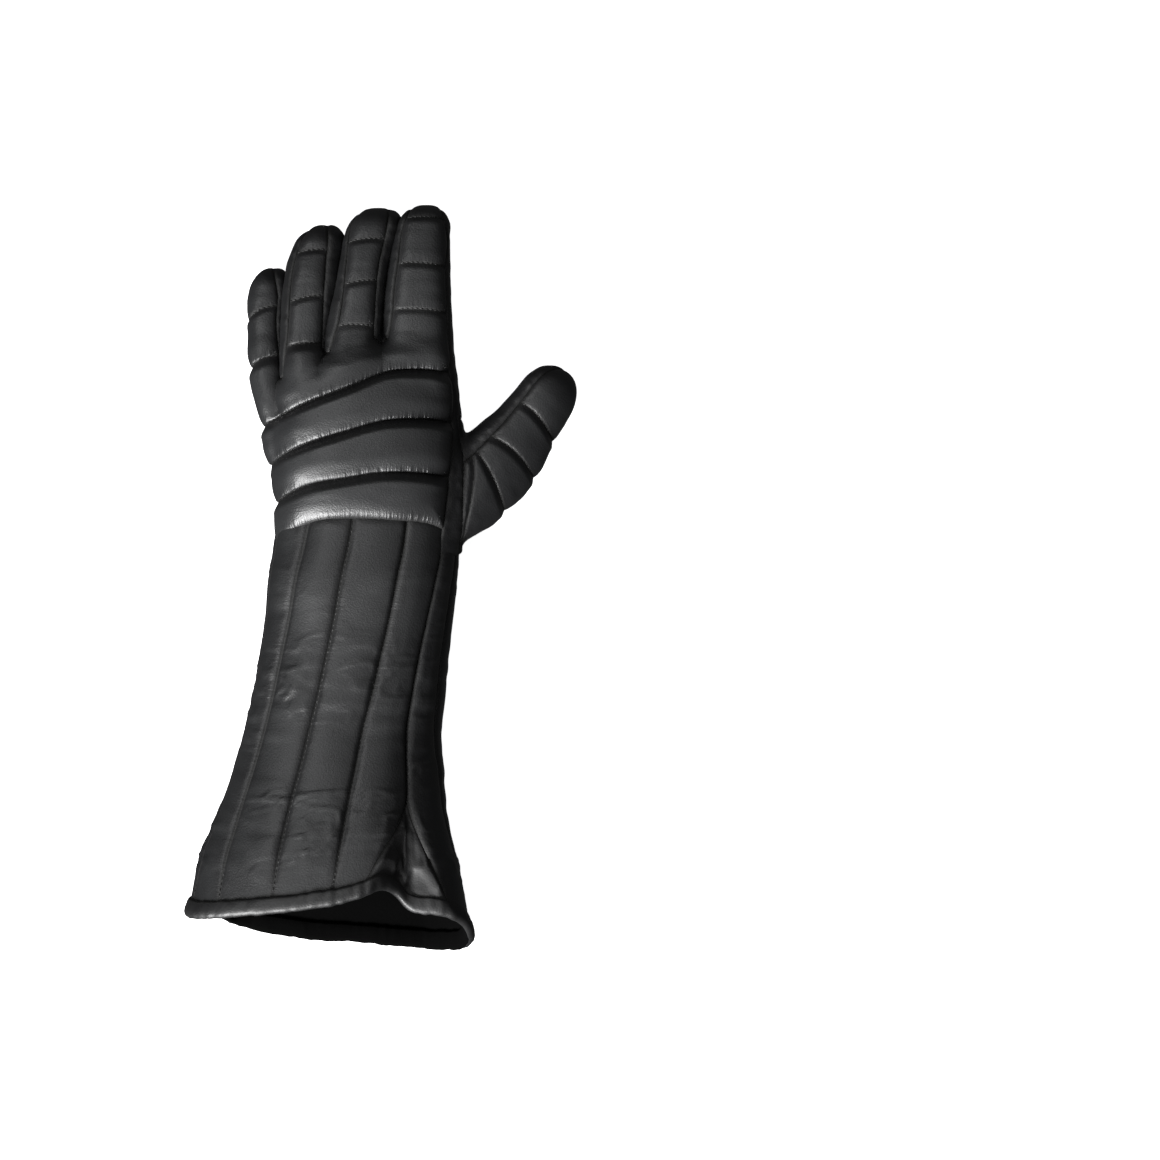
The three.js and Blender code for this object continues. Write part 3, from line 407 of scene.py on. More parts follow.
def sample(field, points):
    """The field's value at any points, between the grid's own."""
    place = (points - GRID_LOW) / GRID_STEP
    cell = np.clip(np.floor(place).astype(int), 0, np.array(field.shape) - 2)
    f = place - cell
    total = np.zeros(len(points))
    for corner in CORNERS:
        weight = np.prod(np.where(corner, f, 1 - f), axis=1)
        total += weight * field[tuple((cell + corner).T)]
    return total


def slope_of(function, points, reach=0.6):
    """The gradient of a function of points, by small steps along each axis."""
    steps = np.eye(3) * reach
    return np.stack([(function(points + s) - function(points - s)) / (2 * reach) for s in steps], axis=1)


def onto_surface(points, rounds=3):
    """Newton steps that bring points onto the surface of the hand's field."""
    for _ in range(rounds):
        value = sample(field, points)
        gradient = slope_of(lambda p: sample(field, p), points)
        points = points - gradient * (value / np.maximum((gradient**2).sum(axis=1), 1e-6))[:, None]
    return points


def outward(points):
    """The unit way out of the hand at each point."""
    return unit(slope_of(lambda p: sample(field, p), points, 0.9))


hand_points, hand_quads = surface_net(field)
hand_points = onto_surface(hand_points)


def triangles_of(points, quads):
    """Each quad as two triangles, cut across its shorter diagonal."""
    a, b, c, d = quads.T
    short = np.linalg.norm(points[a] - points[c], axis=1) <= np.linalg.norm(points[b] - points[d], axis=1)
    first = np.where(short[:, None], np.stack([a, b, c], 1), np.stack([a, b, d], 1))
    second = np.where(short[:, None], np.stack([a, c, d], 1), np.stack([b, c, d], 1))
    return np.concatenate([first, second])


hand_triangles = triangles_of(hand_points, hand_quads)
print("hand", len(hand_points), "vertices", len(hand_triangles), "triangles")

# %% [markdown]
# Where the seams run
#
# A seam is a second field: it is 0 along the seam, and its sign tells which piece of leather lies
# on which side. The back's edge runs high on both sides of each finger and the palm's edge low.
# The strips between the fingers fill what is left. Both edges meet at a fingertip.

# %% Seam fields
# How far the two edges are open, by how far across the fingers a point is: 0 on a finger's middle
# line, where they close at the tip, and 0.5 halfway to its neighbour.
STRIP_OPENING = rows_of("at open", (0.0, 0.0), (0.09, 0.04), (0.17, 0.6), (0.27, 1.0), (0.5, 1.0))
CLOSED_HEIGHT = 0.1  # over the finger's middle line, as a share of half its depth
PALM_EDGE_HEIGHT = -0.62
OUTER_EDGE_LITTLE = -0.62  # one single seam runs along the outer side of the little finger
# The back's edge on the index finger's side, from above: x in mm at y in mm.
SIDE_SEAM = rows_of("at x",
    (-24, 41.5), (-11, 42.9), (0, 44.2), (12, 45.8), (35, 48.0), (60, 48.4), (90, 46.8), (120, 45.4),
    (145, 44.4), (170, 44.2), (180, 42.2), (188, 38.0))
LITTLE_SEAM_HEIGHT = 17.0
WEBS = np.array([83.0, 97.5, 105.5])  # where the strips part, in mm past the wrist seam
WEB_FLARE = 1.2
BESIDE_LITTLE = 34.0  # mm for each 1 of the numbers below, on the little finger's outer side
BESIDE_INDEX = 38.0
NO_LINE = 30.0  # what a stitch line's field says where the line doesn't run
ROLL_ARCH = 1.8  # how far a finger's stitch line is arched in its middle, in mm
finger_list = list(FINGERS.values())


def across_fingers(points):
    """0 on the little finger's middle line, 1 on the ring finger's, and so on, with its height."""
    x, y = points[:, 0], points[:, 1]
    lines = [finger_place(finger, y) for finger in finger_list]
    q = np.where(x < lines[0][1], (x - lines[0][1]) / BESIDE_LITTLE, 3 + (x - lines[3][1]) / BESIDE_INDEX)
    height = np.where(x < lines[0][1], lines[0][2], lines[3][2])
    for i in range(3):
        (_, x0, z0, _), (_, x1, z1, _) = lines[i], lines[i + 1]
        share = np.clip((x - x0) / (x1 - x0), 0, 1)
        here = (x >= x0) & (x < x1)
        q = np.where(here, i + share, q)
        height = np.where(here, z0 + (z1 - z0) * smoothstep(share, 0, 1), height)
    return q, height


def half_depth_at(y):
    return FINGER_DEPTH / 2 * (1 - 0.12 * smoothstep(y / PALM_LENGTH, 1.6, 2.2))


def back_edge(points):
    """Positive on the quilted back: over its lower edge, and between its seams seen from above."""
    x, y, z = points.T
    q, line = across_fingers(points)
    level = CLOSED_HEIGHT + (OUTER_EDGE_LITTLE - CLOSED_HEIGHT) * smoothstep(-q, 0, 0.3)
    low = line + level * half_depth_at(y)
    outer = smoothstep(-q, -0.6, 0.1)
    low += (LITTLE_SEAM_HEIGHT - low) * (1 - smoothstep(y / PALM_LENGTH, 0.6, 0.95)) * outer
    reach = np.full(len(points), -99.0)
    for finger in finger_list:
        left, right = columns_at(finger["rows"], y, "seam_left seam_right")
        reach = np.maximum(reach, np.minimum(x - left, right - x))
    web = WEBS[np.clip(np.floor(q), 0, 2).astype(int)]
    reach += WEB_FLARE * np.maximum(web - y, 0)
    return np.minimum(z - low, np.minimum(reach, along(SIDE_SEAM, y, "x") - x))


def palm_edge(points):
    """Positive over the palm's edge. On both outer sides of the hand that is the back's edge."""
    q, line = across_fingers(points)
    opening = along(STRIP_OPENING, np.abs(q - np.clip(np.round(q), 0, 3)), "open")
    level = CLOSED_HEIGHT + (PALM_EDGE_HEIGHT - CLOSED_HEIGHT) * opening
    between = points[:, 2] - line - level * half_depth_at(points[:, 1])
    return np.where((q < 0) | (q > 3), back_edge(points), between)


# The thumb's piece meets the palm's along a curve on the palm, and the index side's strip along a
# steep line. at is y in shares of PALM_LENGTH, and the rest are x in shares of PALM_WIDTH.
THUMB_ON_PALM = rows_of("at under over",
    (-0.4, 0.17, 0.472), (-0.1, 0.14, 0.478), (0.3, 0.1, 0.486), (0.6, 0.11, 0.492),
    (0.82, 0.165, 0.5), (0.98, 0.27, 0.51), (1.1, 0.42, 0.52))
# Its upper end, from the curve's top down into the crotch. at is x in shares of PALM_WIDTH.
THUMB_CROTCH = rows_of("at under over",
    (0.1, 1.08, 0.9), (0.25, 1.02, 0.8), (0.3, 0.86, 0.76), (0.36, 0.78, 0.74), (0.45, 0.735, 0.735),
    (0.56, 0.73, 0.75), (0.7, 0.95, 0.95), (1.0, 1.5, 1.5))
THUMB_SEAM_TILT = math.radians(53)


def thumb_edge(points):
    """Positive on the thumb, and 0 where its leather meets the palm's and the strips'."""
    x, y, z = points.T
    rise = smoothstep(z, 3, 42)
    under, over = columns_at(THUMB_ON_PALM, y / PALM_LENGTH, "under over")
    side = under * (1 - rise) + over * rise
    under, over = columns_at(THUMB_CROTCH, x / PALM_WIDTH, "under over")
    end = under * (1 - rise) + over * rise
    return soft_min(x - side * PALM_WIDTH, end * PALM_LENGTH - y, 1.5)


def thumb_side(points):
    """Positive on the thumb's quilted back, negative on its smooth front."""
    _, across, height = thumb_place(points[:, 0], points[:, 1])
    over = points[:, 2] - height
    return over * math.cos(THUMB_SEAM_TILT) - across * math.sin(THUMB_SEAM_TILT)


# The fronts of the middle and the ring finger are one insert, set in behind the palm's edge. at
# is the place across the fingers, and y a share of PALM_LENGTH.
INSERT_EDGE = rows_of("at y", (0.5, 1.02), (1.0, 1.09), (1.5, 1.15), (2.0, 1.17), (2.5, 1.15))


def insert_edge(points):
    """Positive on the two middle fingers' fronts, past the palm's edge."""
    q, _ = across_fingers(points)
    beyond = points[:, 1] - along(INSERT_EDGE, q, "y") * PALM_LENGTH
    inside = 40 * np.minimum(q - 0.5, 2.5 - q)
    return soft_min(beyond, inside, 1.0)


# The wrist's edge. at is x in shares of PALM_WIDTH, and y is in mm.
BACK_WRIST = rows_of("at y",
    (-0.47, -16.5), (-0.41, -10.5), (-0.31, -4.2), (-0.1, 0.2), (0.1, -0.5), (0.37, -4.5),
    (0.45, -9.0))
PALM_WRIST = rows_of("at y", (-0.47, -20.0), (-0.17, -14.5), (0.13, -9.5), (0.35, -10.5), (0.5, -15.0))
THUMB_SIDE_WRIST = -20.5


def back_wrist_edge(points):
    return points[:, 1] - along(BACK_WRIST, points[:, 0] / PALM_WIDTH, "y")


def palm_wrist_edge(points):
    """Millimetres past the wrist's edge. It falls back to one y high on the thumb's side."""
    under = along(PALM_WRIST, points[:, 0] / PALM_WIDTH, "y")
    side = smoothstep(points[:, 2], 12, 38) * smoothstep(points[:, 0], 20, 45)
    return points[:, 1] - (under + (THUMB_SIDE_WRIST - under) * side)


# Stitch lines across the back of the hand, between the wrist and the knuckles. at is x in shares
# of PALM_WIDTH, and the columns are y in mm.
HAND_ROLLS = rows_of("at first second third",
    (-0.56, 5.8, 30.2, 54.8), (-0.44, 12.8, 37.2, 60.8), (-0.3, 19.8, 43.7, 67.4),
    (-0.1, 24.2, 50.8, 76.0), (0.1, 27.5, 57.0, 85.0), (0.3, 27.0, 58.0, 87.0),
    (0.45, 24.5, 56.5, 85.5))


def hand_roll_line(column):
    return lambda p: p[:, 1] - along(HAND_ROLLS, p[:, 0] / PALM_WIDTH, column)


def finger_roll_line(name, row):
    """A stitch line across a finger's back, arched a little towards the tip in its middle."""
    finger = FINGERS[name]
    index = list(FINGERS).index(name)

    def line(points):
        _, x, _, _ = finger_place(finger, points[:, 1])
        across = points[:, 0] - x
        half = (finger["rows"][2]["right"] - finger["rows"][2]["left"]) / 2
        value = points[:, 1] - row["at"] - row["slant"] * across + ROLL_ARCH * (across / half) ** 2
        q, _ = across_fingers(points)
        return np.where(np.abs(q - index) < 0.56, value, NO_LINE)

    return line


def thumb_roll_line(row):
    def line(points):
        t, across, _ = thumb_place(points[:, 0], points[:, 1])
        return t - row["at"] - row["tilt"] * across + row["bend"] * (across - row["middle"]) ** 2

    return line


def thumb_fold_line(rows):
    """A loose fold is a line too. It ends below the crotch."""
    return lambda p: np.where(p[:, 1] < FOLDS_END, p[:, 0] - along(rows, p[:, 1], "x"), NO_LINE)


# %% [markdown]
# Cutting the skin into its pieces
#
# A real glove is cut before it is sewn. Here the skin is cut along the lines where a seam field
# is 0: a triangle that such a line crosses is split in three, so that every edge comes out clean.

# %% Cutting
def cut(points, triangles, values):
    """Splits every triangle that the line of value 0 crosses, so that no triangle straddles it."""
    signs = values[triangles] >= 0
    mixed = signs.any(axis=1) & ~signs.all(axis=1)
    split, whole = triangles[mixed], triangles[~mixed]
    if not len(split):
        return points, triangles
    signs = signs[mixed]
    lone_sign = signs.sum(axis=1) == 1
    lone = np.argmax(signs == lone_sign[:, None], axis=1)
    a, b, c = [split[np.arange(len(split)), (lone + k) % 3] for k in range(3)]
    low = np.stack([np.minimum(a, b), np.minimum(a, c)], 1).ravel()
    high = np.stack([np.maximum(a, b), np.maximum(a, c)], 1).ravel()
    pairs, place = np.unique(np.stack([low, high], 1), axis=0, return_inverse=True)
    v0, v1 = values[pairs[:, 0]], values[pairs[:, 1]]
    share = np.clip(v0 / (v0 - v1), 0.02, 0.98)[:, None]
    added = points[pairs[:, 0]] * (1 - share) + points[pairs[:, 1]] * share
    p, q = (place.reshape(-1, 2) + len(points)).T
    made = [np.stack(t, 1) for t in [(a, p, q), (p, b, c), (p, c, q)]]
    return np.concatenate([points, added]), np.concatenate([whole, *made])


def keep(points, triangles, chosen):
    """Only the chosen triangles, with the vertices that they use."""
    used, renumbered = np.unique(triangles[chosen], return_inverse=True)
    return points[used], renumbered.reshape(-1, 3)


def middles(points, triangles):
    return points[triangles].mean(axis=1)


for edge in [back_edge, palm_edge, thumb_edge, insert_edge, thumb_side, back_wrist_edge, palm_wrist_edge]:
    hand_points, hand_triangles = cut(hand_points, hand_triangles, edge(hand_points))
centre = middles(hand_points, hand_triangles)
is_back = back_edge(centre) > 0
is_strip = ~is_back & (palm_edge(centre) > 0)
is_thumb = (thumb_edge(centre) > 0) & ~is_back
is_strip &= ~is_thumb
is_insert = ~is_back & ~is_strip & ~is_thumb & (insert_edge(centre) > 0)
past_back_wrist = back_wrist_edge(centre) > 0
past_palm_wrist = palm_wrist_edge(centre) > 0
gap_number = np.clip(np.floor(across_fingers(centre)[0]), 0, 2)
hand_pieces = {
    "back_panel": is_back & past_back_wrist,
    "palm_panel": ~is_back & ~is_strip & ~is_thumb & ~is_insert & past_palm_wrist,
    "finger_front_insert": is_insert,
    "fourchette_ring_little": is_strip & (gap_number == 0),
    "fourchette_middle_ring": is_strip & (gap_number == 1),
    "fourchette_index_middle": is_strip & (gap_number == 2),
    "thumb_back": is_thumb & (thumb_side(centre) > 0) & past_palm_wrist,
    "thumb_front": is_thumb & (thumb_side(centre) <= 0) & past_palm_wrist,
}
for name, chosen in hand_pieces.items():
    print(name, int(chosen.sum()), "triangles")

# %% [markdown]
# Leather over foam
#
# Quilting is simple to make once every point knows how far it is from the nearest stitch line. The
# leather rises from a stitch line much as a quarter circle does. Two such rises multiplied, one for
# the piece's edge and one for the lines across it, give a row of round pillows. Where the leather is
# gathered on a stitch line it puckers: short folds that run straight out of the line.

# %% Distances to stitch lines
LEATHER = 1.6  # the leather's thickness in mm
ON_TABLE = 0.05  # the lowest that anything lies over the table, in mm
NO_SEAM = 6.0  # the distance to a seam in mm that a piece without seams is given


def open_edges(triangles):
    """The edges that only one triangle uses, each in that triangle's own direction."""
    edges = np.concatenate([triangles[:, [0, 1]], triangles[:, [1, 2]], triangles[:, [2, 0]]])
    key = np.sort(edges, axis=1)
    key = key[:, 0] * (triangles.max() + 1) + key[:, 1]
    _, first, count = np.unique(key, return_index=True, return_counts=True)
    return edges[first[count == 1]]


def tree_of(points):
    """A tree that finds the nearest of these points."""
    tree = KDTree(len(points))
    for number, point in enumerate(points):
        tree.insert(point, number)
    tree.balance()
    return tree


def distance_to(line_points, points):
    """How far each point is from the nearest of the line's points, and which one that is."""
    tree = tree_of(line_points)
    found = [tree.find(point)[1:] for point in points]
    return np.array([row[1] for row in found]), np.array([row[0] for row in found])


def add_seams(points, triangles, lines):
    """Cuts a piece along the stitch lines that cross it. Returns the numbers of the points on them."""
    for line in lines:
        points, triangles = cut(points, triangles, line(points))
    on_lines = [np.flatnonzero(np.abs(line(points)) < 0.02) for line in lines]
    return points, triangles, on_lines


def sides_of_lines(points, lines, owner):
    """Whether a point lies beyond its nearest stitch line, and the way that leads from the line."""
    beyond, way = np.zeros(len(points), bool), np.zeros((len(points), 3))
    for number, line in enumerate(lines):
        mine = np.flatnonzero(owner == number)
        if len(mine):
            beyond[mine] = line(points[mine]) > 0
            way[mine] = slope_of(line, points[mine])
    return beyond, unit(way)


# %% Swelling the pieces of the hand
# Height of a roll in mm, how far it rises from its upper stitch line, and from its lower one. The
# leather sags towards the wrist: it slopes gently down to its upper line, and bulges over the lower.
QUILTED = {"hand": (6.4, 7.5, 12.0), "finger": (1.4, 4.5, 7.0), "thumb": (2.2, 5.5, 8.5)}
# How far a roll hangs over the stitch line below it, and how far up it that is felt, in mm.
SAG = {"hand": (2.8, 3.8), "finger": (0.35, 2.0), "thumb": (0.7, 2.4)}
# How strongly the leather puckers over a stitch line.
PUCKERED = {"hand": (1.0,), "finger": (0.3,), "thumb": (0.35,)}
SMOOTH = {"palm": (1.1, 4.0), "strip": (1.3, 4.0), "thumb": (1.0, 4.0)}
SMOOTH_KIND = {"thumb_front": "thumb", "palm_panel": "palm", "finger_front_insert": "palm"}
finger_rolls = [(name, row) for name, finger in FINGERS.items() for row in finger["rolls"]]
BACK_LINES = [hand_roll_line(column) for column in ("first", "second", "third")]
BACK_LINES += [finger_roll_line(name, row) for name, row in finger_rolls]
THUMB_LINES = [thumb_roll_line(row) for row in THUMB_ROLLS]
THUMB_LINES += [thumb_fold_line(rows) for rows in THUMB_FOLDS]
TOPSTITCH_TOP = 14.0  # the palm's double row of stitches beside the thumb's seam ends at this height


def topstitch(distance):
    """One of the two rows of stitches that run beside the thumb's seam, on the palm."""
    return lambda p: np.where(p[:, 2] < TOPSTITCH_TOP, thumb_edge(p) + distance, NO_LINE)


TOPSTITCHES = [topstitch(2.0), topstitch(5.0)]


def glove_coordinates(name, points):
    """Each point as millimetres across and along its finger or thumb, with its height."""
    if name.startswith("thumb"):
        t, across, _ = thumb_place(points[:, 0], points[:, 1])
        return np.stack([across, t, points[:, 2]], axis=1)
    return points


def padding(name, points, table):
    """A row of the table for the piece: the thumb's own, or the hand's that turns to the finger's."""
    if name == "thumb_back":
        return table["thumb"]
    on_finger = smoothstep(points[:, 1] / PALM_LENGTH, 1.05, 1.35)
    return [h * (1 - on_finger) + f * on_finger for h, f in zip(table["hand"], table["finger"])]


def overhang(name, points, line, beyond):
    """How far a roll hangs over the stitch line below it."""
    sag, reach = padding(name, points, SAG)
    return np.where(beyond, sag * line / reach * np.exp(1 - line / reach), 0)


def swelling(name, points, edge, line, beyond):
    """How far the leather rises over the skin at each point, in mm."""
    own = glove_coordinates(name, points)
    if name in ("back_panel", "thumb_back"):
        height, falling, rising = padding(name, points, QUILTED)
        bulge = 0.5 * roll(line, rising) + 0.5 * smoothstep(line, -3.0, 0.95 * rising)
        profile = np.where(beyond, bulge, smoothstep(line, -0.8, falling))
        rise = height * roll(edge, rising) * (0.06 + 0.94 * profile)
        if name == "back_panel":
            # The padding ends before the glove's outer side, where the rolls are thinner.
            thinner = 0.42 * smoothstep(points[:, 0], -36, -54)
            rise *= 1 - thinner * (1 - smoothstep(points[:, 1], 90, 115))
        rise *= 1 + 0.12 * noise(own, 30.0, 3)
        # Puckers: fine and close together, and stronger on the side that hangs over the line.
        cross = noise(own, (2.2, 11.0, 11.0), 5) + 0.7 * noise(own, (3.9, 13.0, 13.0), 6)
        deep = np.where(beyond, 0.3, 0.05) * padding(name, points, PUCKERED)[0]
        rise += deep * cross * smoothstep(line, 0.2, 1.2) * (1 - smoothstep(line, 1.5, 6.5))
        side = noise(own, (13.0, 3.6, 13.0), 7)
        rise += 0.12 * side * smoothstep(edge, 0.2, 1.2) * (1 - smoothstep(edge, 1.5, 6.0))
        fold = noise(own + 2.5 * noise(own, 17.0, 11)[:, None], (19.0, 5.0, 12.0), 8)
        rise += 0.16 * fold * smoothstep(np.minimum(edge, line), 1, 6)
        return rise
    height, reach = SMOOTH[SMOOTH_KIND.get(name, "strip")]
    rise = height * roll(edge, reach)
    rise += 0.3 * noise(own, (11.0, 5.0, 11.0), 9) * smoothstep(edge, 0.5, 5)
    gathered = 0.3 * noise(own, (14.0, 3.4, 14.0), 10) * smoothstep(edge, 0.2, 1.4)
    rise += gathered * (1 - smoothstep(edge, 2, 6))
    return rise


# %% Closed sheets of leather
def closed_sheet(outer, inner, triangles):
    """A sheet with an outer and an inner side, joined round its open edges."""
    count = len(outer)
    a, b = open_edges(triangles).T
    rim = np.concatenate([np.stack([b, a, a + count], 1), np.stack([b, a + count, b + count], 1)])
    faces = np.concatenate([triangles, triangles[:, ::-1] + count, rim])
    return np.concatenate([outer, inner]), faces


def in_scene(name, data):
    """A new object, linked to the scene."""
    made = bpy.data.objects.new(name, data)
    bpy.context.scene.collection.objects.link(made)
    return made


def make_piece(name, points, triangles, seam, along_seam, inside, gather=None):
    """A Blender object from points in mm of the glove's own frame.

    For the material, seam is how far each point is from a seam, along_seam how far along it, and
    gather how strongly the leather puckers. inside marks the points of the inner side, whose faces
    get the second material."""
    mesh = bpy.data.meshes.new(name)
    placed = ((points + WRIST) * 0.001).astype(np.float32)
    mesh.vertices.add(len(placed))
    mesh.vertices.foreach_set("co", placed.ravel())
    mesh.loops.add(len(triangles) * 3)
    mesh.loops.foreach_set("vertex_index", triangles.astype(np.int32).ravel())
    mesh.polygons.add(len(triangles))
    mesh.polygons.foreach_set("loop_start", np.arange(len(triangles), dtype=np.int32) * 3)
    mesh.polygons.foreach_set("use_smooth", np.full(len(triangles), True))
    mesh.polygons.foreach_set("material_index", inside[triangles].all(axis=1).astype(np.int32))
    gather = np.zeros(len(points)) if gather is None else gather
    for key, column in {"seam_mm": seam, "along_mm": along_seam, "gather": gather}.items():
        attribute = mesh.attributes.new(key, "FLOAT", "POINT")
        attribute.data.foreach_set("value", np.asarray(column, np.float32))
    mesh.update()
    mesh.validate()
    return in_scene(name, mesh)


def leather_piece(name, outer, inner, triangles, seam, along_seam, strength):
    """A sheet of leather with a lined inner side. Its gathers die away within 7 mm of a seam."""
    shell, faces = closed_sheet(outer, inner, triangles)
    inside = np.repeat([False, True], len(outer))
    gather = strength * (1 - smoothstep(seam, 0.5, 7))
    seam, along_seam, gather = [np.tile(column, 2) for column in (seam, along_seam, gather)]
    return make_piece(name, shell, faces, seam, along_seam, inside, gather)


STITCHED = {"back_panel": BACK_LINES, "thumb_back": THUMB_LINES, "palm_panel": TOPSTITCHES}
pieces = {}
stitch_paths = {"hand": [], "cuff": []}  # each path is its points and the way out of the leather there
for node, chosen in hand_pieces.items():
    points, triangles = keep(hand_points, hand_triangles, chosen)
    lines = STITCHED.get(node, [])
    edge_points = points[np.unique(open_edges(triangles))]
    points, triangles, on_lines = add_seams(points, triangles, lines)
    edge, _ = distance_to(edge_points, points)
    normal = outward(points)
    line, beyond, shift = np.full(len(points), 99.0), np.zeros(len(points), bool), 0
    if node in ("back_panel", "thumb_back"):
        line, nearest_point = distance_to(points[np.concatenate(on_lines)], points)
        owner = np.repeat(np.arange(len(lines)), [len(row) for row in on_lines])[nearest_point]
        beyond, way = sides_of_lines(points, lines, owner)
        way -= (way * normal).sum(axis=1, keepdims=True) * normal
        shift = way * (overhang(node, points, line, beyond) * smoothstep(edge, 0, 6))[:, None]
    outer = points + normal * swelling(node, points, edge, line, beyond)[:, None] - shift
    outer[:, 2] = np.maximum(outer[:, 2], ON_TABLE)
    inner = points - normal * LEATHER
    inner[:, 2] = np.maximum(inner[:, 2], LEATHER)
    own = glove_coordinates(node, points)
    at_wrist = (node == "back_panel") & (back_wrist_edge(points) < edge + 1.5) & (edge < line)
    along_seam = np.where((line < edge) | at_wrist, own[:, 0], own[:, 1])
    strength = np.where(line < edge, np.where(beyond, 1.0, 0.25), np.where(at_wrist, 0.8, 0.15))
    strength = strength * padding(node, points, PUCKERED)[0]
    nearest = np.minimum(edge, line)
    pieces[node] = leather_piece(node + "_leather", outer, inner, triangles, nearest, along_seam, strength)
    sewn = on_lines[: len(THUMB_ROLLS)] if node == "thumb_back" else on_lines
    stitch_paths["hand"] += [(outer[row], normal[row]) for row in sewn]
    print(node, len(triangles), "triangles, swells up to", round(float((outer - points).max()), 1), "mm")

# %% [markdown]
# The cuff
#
# The cuff is a cone of leather panels that are quilted in long channels. A sheet like this is best
# made as a grid: one direction runs from the wrist to the hem, and the other round the arm. Each
# grid line keeps to the seams of the real pattern, so that a channel's valley is a row of vertices.

# %% Sizes of the cuff
CUFF_LENGTH = 220.0
CUFF_TUCK = 12.0
TUCK_DEPTH = 2.9  # how far the cuff lies inside the hand at the wrist
TUCK_CLEARANCE = 2.4  # its underside keeps so far off the table there, to leave room for the palm
FOLD_DEPTH = {"thumb": 11.0, "little": 8.0}
CHANNEL_CREST = {"height": 1.5, "reach": 3.6}  # the steep side of a channel, close to its stitches
CHANNEL_CROWN = {"height": 1.9, "reach": 15.0}  # and its broad crown
GUSSET_TIP = 0.72
# at is a share of CUFF_LENGTH from the wrist seam, and the rest is in mm.
CUFF_SECTIONS = rows_of("at left right depth",
    (-0.08, -50.5, 49.0, 57.5),
    (0.0, -51.2, 49.0, 57.5),
    (0.08, -53.6, 49.0, 58.5),
    (0.15, -56.2, 47.6, 60.5),
    (0.25, -58.2, 45.2, 62.0),
    (0.34, -61.0, 42.8, 62.5),
    (0.455, -65.2, 40.2, 63.5),
    (0.55, -69.8, 38.2, 65.0),
    (0.66, -77.0, 40.4, 69.5),
    (0.764, -85.2, 44.0, 75.0),
    (0.864, -94.4, 51.0, 81.0),
    (0.96, -101.4, 58.2, 87.0),
    (1.04, -105.0, 61.5, 90.0))
# How far the hem reaches past CUFF_LENGTH, in mm, by degrees round the cuff.
HEM_REACH = rows_of("at past",
    (-20, 29.0), (0, 20.0), (22, 8.0), (38, 2.5), (50, 0.0), (60, -10.0), (68, -13.0), (78, -9.0),
    (90, -4.5), (115, 0.5), (141, 4.0), (162, 5.5), (182, 6.0), (205, 11.0), (230, 19.0), (264, 27.5),
    (287, 31.5), (314, 33.0), (340, 29.0), (360, 20.0), (382, 8.0))
# Where each long seam runs, in degrees round the cuff from the thumb's side over the back.
BACK_CHANNELS = rows_of("wrist middle tip hem",
    (28, 44.5, 48, 79), (63.5, 73, 80.5, 88), (94.5, 101, 105.5, 107), (124.5, 135, 138.5, 134),
    (166, 168, 168, 160), (200, 207, 212, 192))
PALM_CHANNELS = rows_of("wrist middle tip hem",
    (200, 207, 212, 230), (226, 230, 234, 242), (258, 259, 259, 264), (294, 291, 289, 287),
    (328, 324, 321, 314), (363, 376, 370.5, 354), (388, 404.5, 408, 389))
one_turn_back = {key: angle - 360 for key, angle in PALM_CHANNELS[-1].items()}
THUMB_GUSSET = [one_turn_back, BACK_CHANNELS[0]]
LITTLE_GUSSET = [BACK_CHANNELS[-1], PALM_CHANNELS[0]]


def seam_angle(seam, at):
    """Degrees round the cuff of a long seam. It bends at the gusset's tip."""
    upper = rows_of("at angle", (0.0, seam["wrist"]), (0.4, seam["middle"]), (GUSSET_TIP, seam["tip"]))
    lower = np.clip((at - GUSSET_TIP) / (1 - GUSSET_TIP), 0, 1)
    return along(upper, at, "angle") + (seam["hem"] - seam["tip"]) * lower ** 1.15


def fold_depth(at, degrees):
    """How deep a gusset's fold is in mm: 0 on its two seams and deepest on its middle line."""
    share = np.zeros(np.broadcast(at, degrees).shape)
    for gusset, deepest in ((THUMB_GUSSET, FOLD_DEPTH["thumb"]), (LITTLE_GUSSET, FOLD_DEPTH["little"])):
        low, high = [seam_angle(seam, at) for seam in gusset]
        for turn in (-360, 0, 360):
            across = (degrees + turn - low) / np.maximum(high - low, 1e-3)
            inside = (across > 0) & (across < 1) & (high > low)
            depth = deepest * (0.5 + 0.5 * np.cos(2 * np.pi * (across - 0.5)))
            share = np.where(inside, np.maximum(share, depth), share)
    return share * smoothstep(at, GUSSET_TIP, 1)


def cuff_point(at, degrees, inset):
    """A point of the cuff's wall: at runs from 0 at the wrist to 1 at the hem."""
    angle = np.radians(degrees)
    power = np.where(np.sin(angle) > 0, BACK_POWER, PALM_POWER)
    c = np.sign(np.cos(angle)) * np.abs(np.cos(angle)) ** (2 / power)
    s = np.sign(np.sin(angle)) * np.abs(np.sin(angle)) ** (2 / power)
    left, right, depth = columns_at(CUFF_SECTIONS, at, "left right depth")
    sink = fold_depth(at, degrees) + inset
    lift = TUCK_DEPTH * (1 - smoothstep(at, 0.1, 0.3))
    past = along(HEM_REACH, np.mod(degrees + 20, 360) - 20, "past")
    floor = 3.0 - 0.9 * smoothstep(at, 0.9, 0.96)
    x = (left + right) / 2 + ((right - left) / 2 - sink) * c
    y = -at * CUFF_LENGTH - past * smoothstep(at, 0.3, 1) * np.maximum(at, 0)
    z = lift + depth / 2 + (depth / 2 - sink) * s - FLOOR_PRESS
    return np.stack([x, y, np.maximum(z, inset + floor)], axis=-1)


# %% Panels of the cuff
GRID_MM = 1.3  # the grid's step
STITCHES_END = 0.955  # where a channel's stitches end before the hem, as a share of CUFF_LENGTH


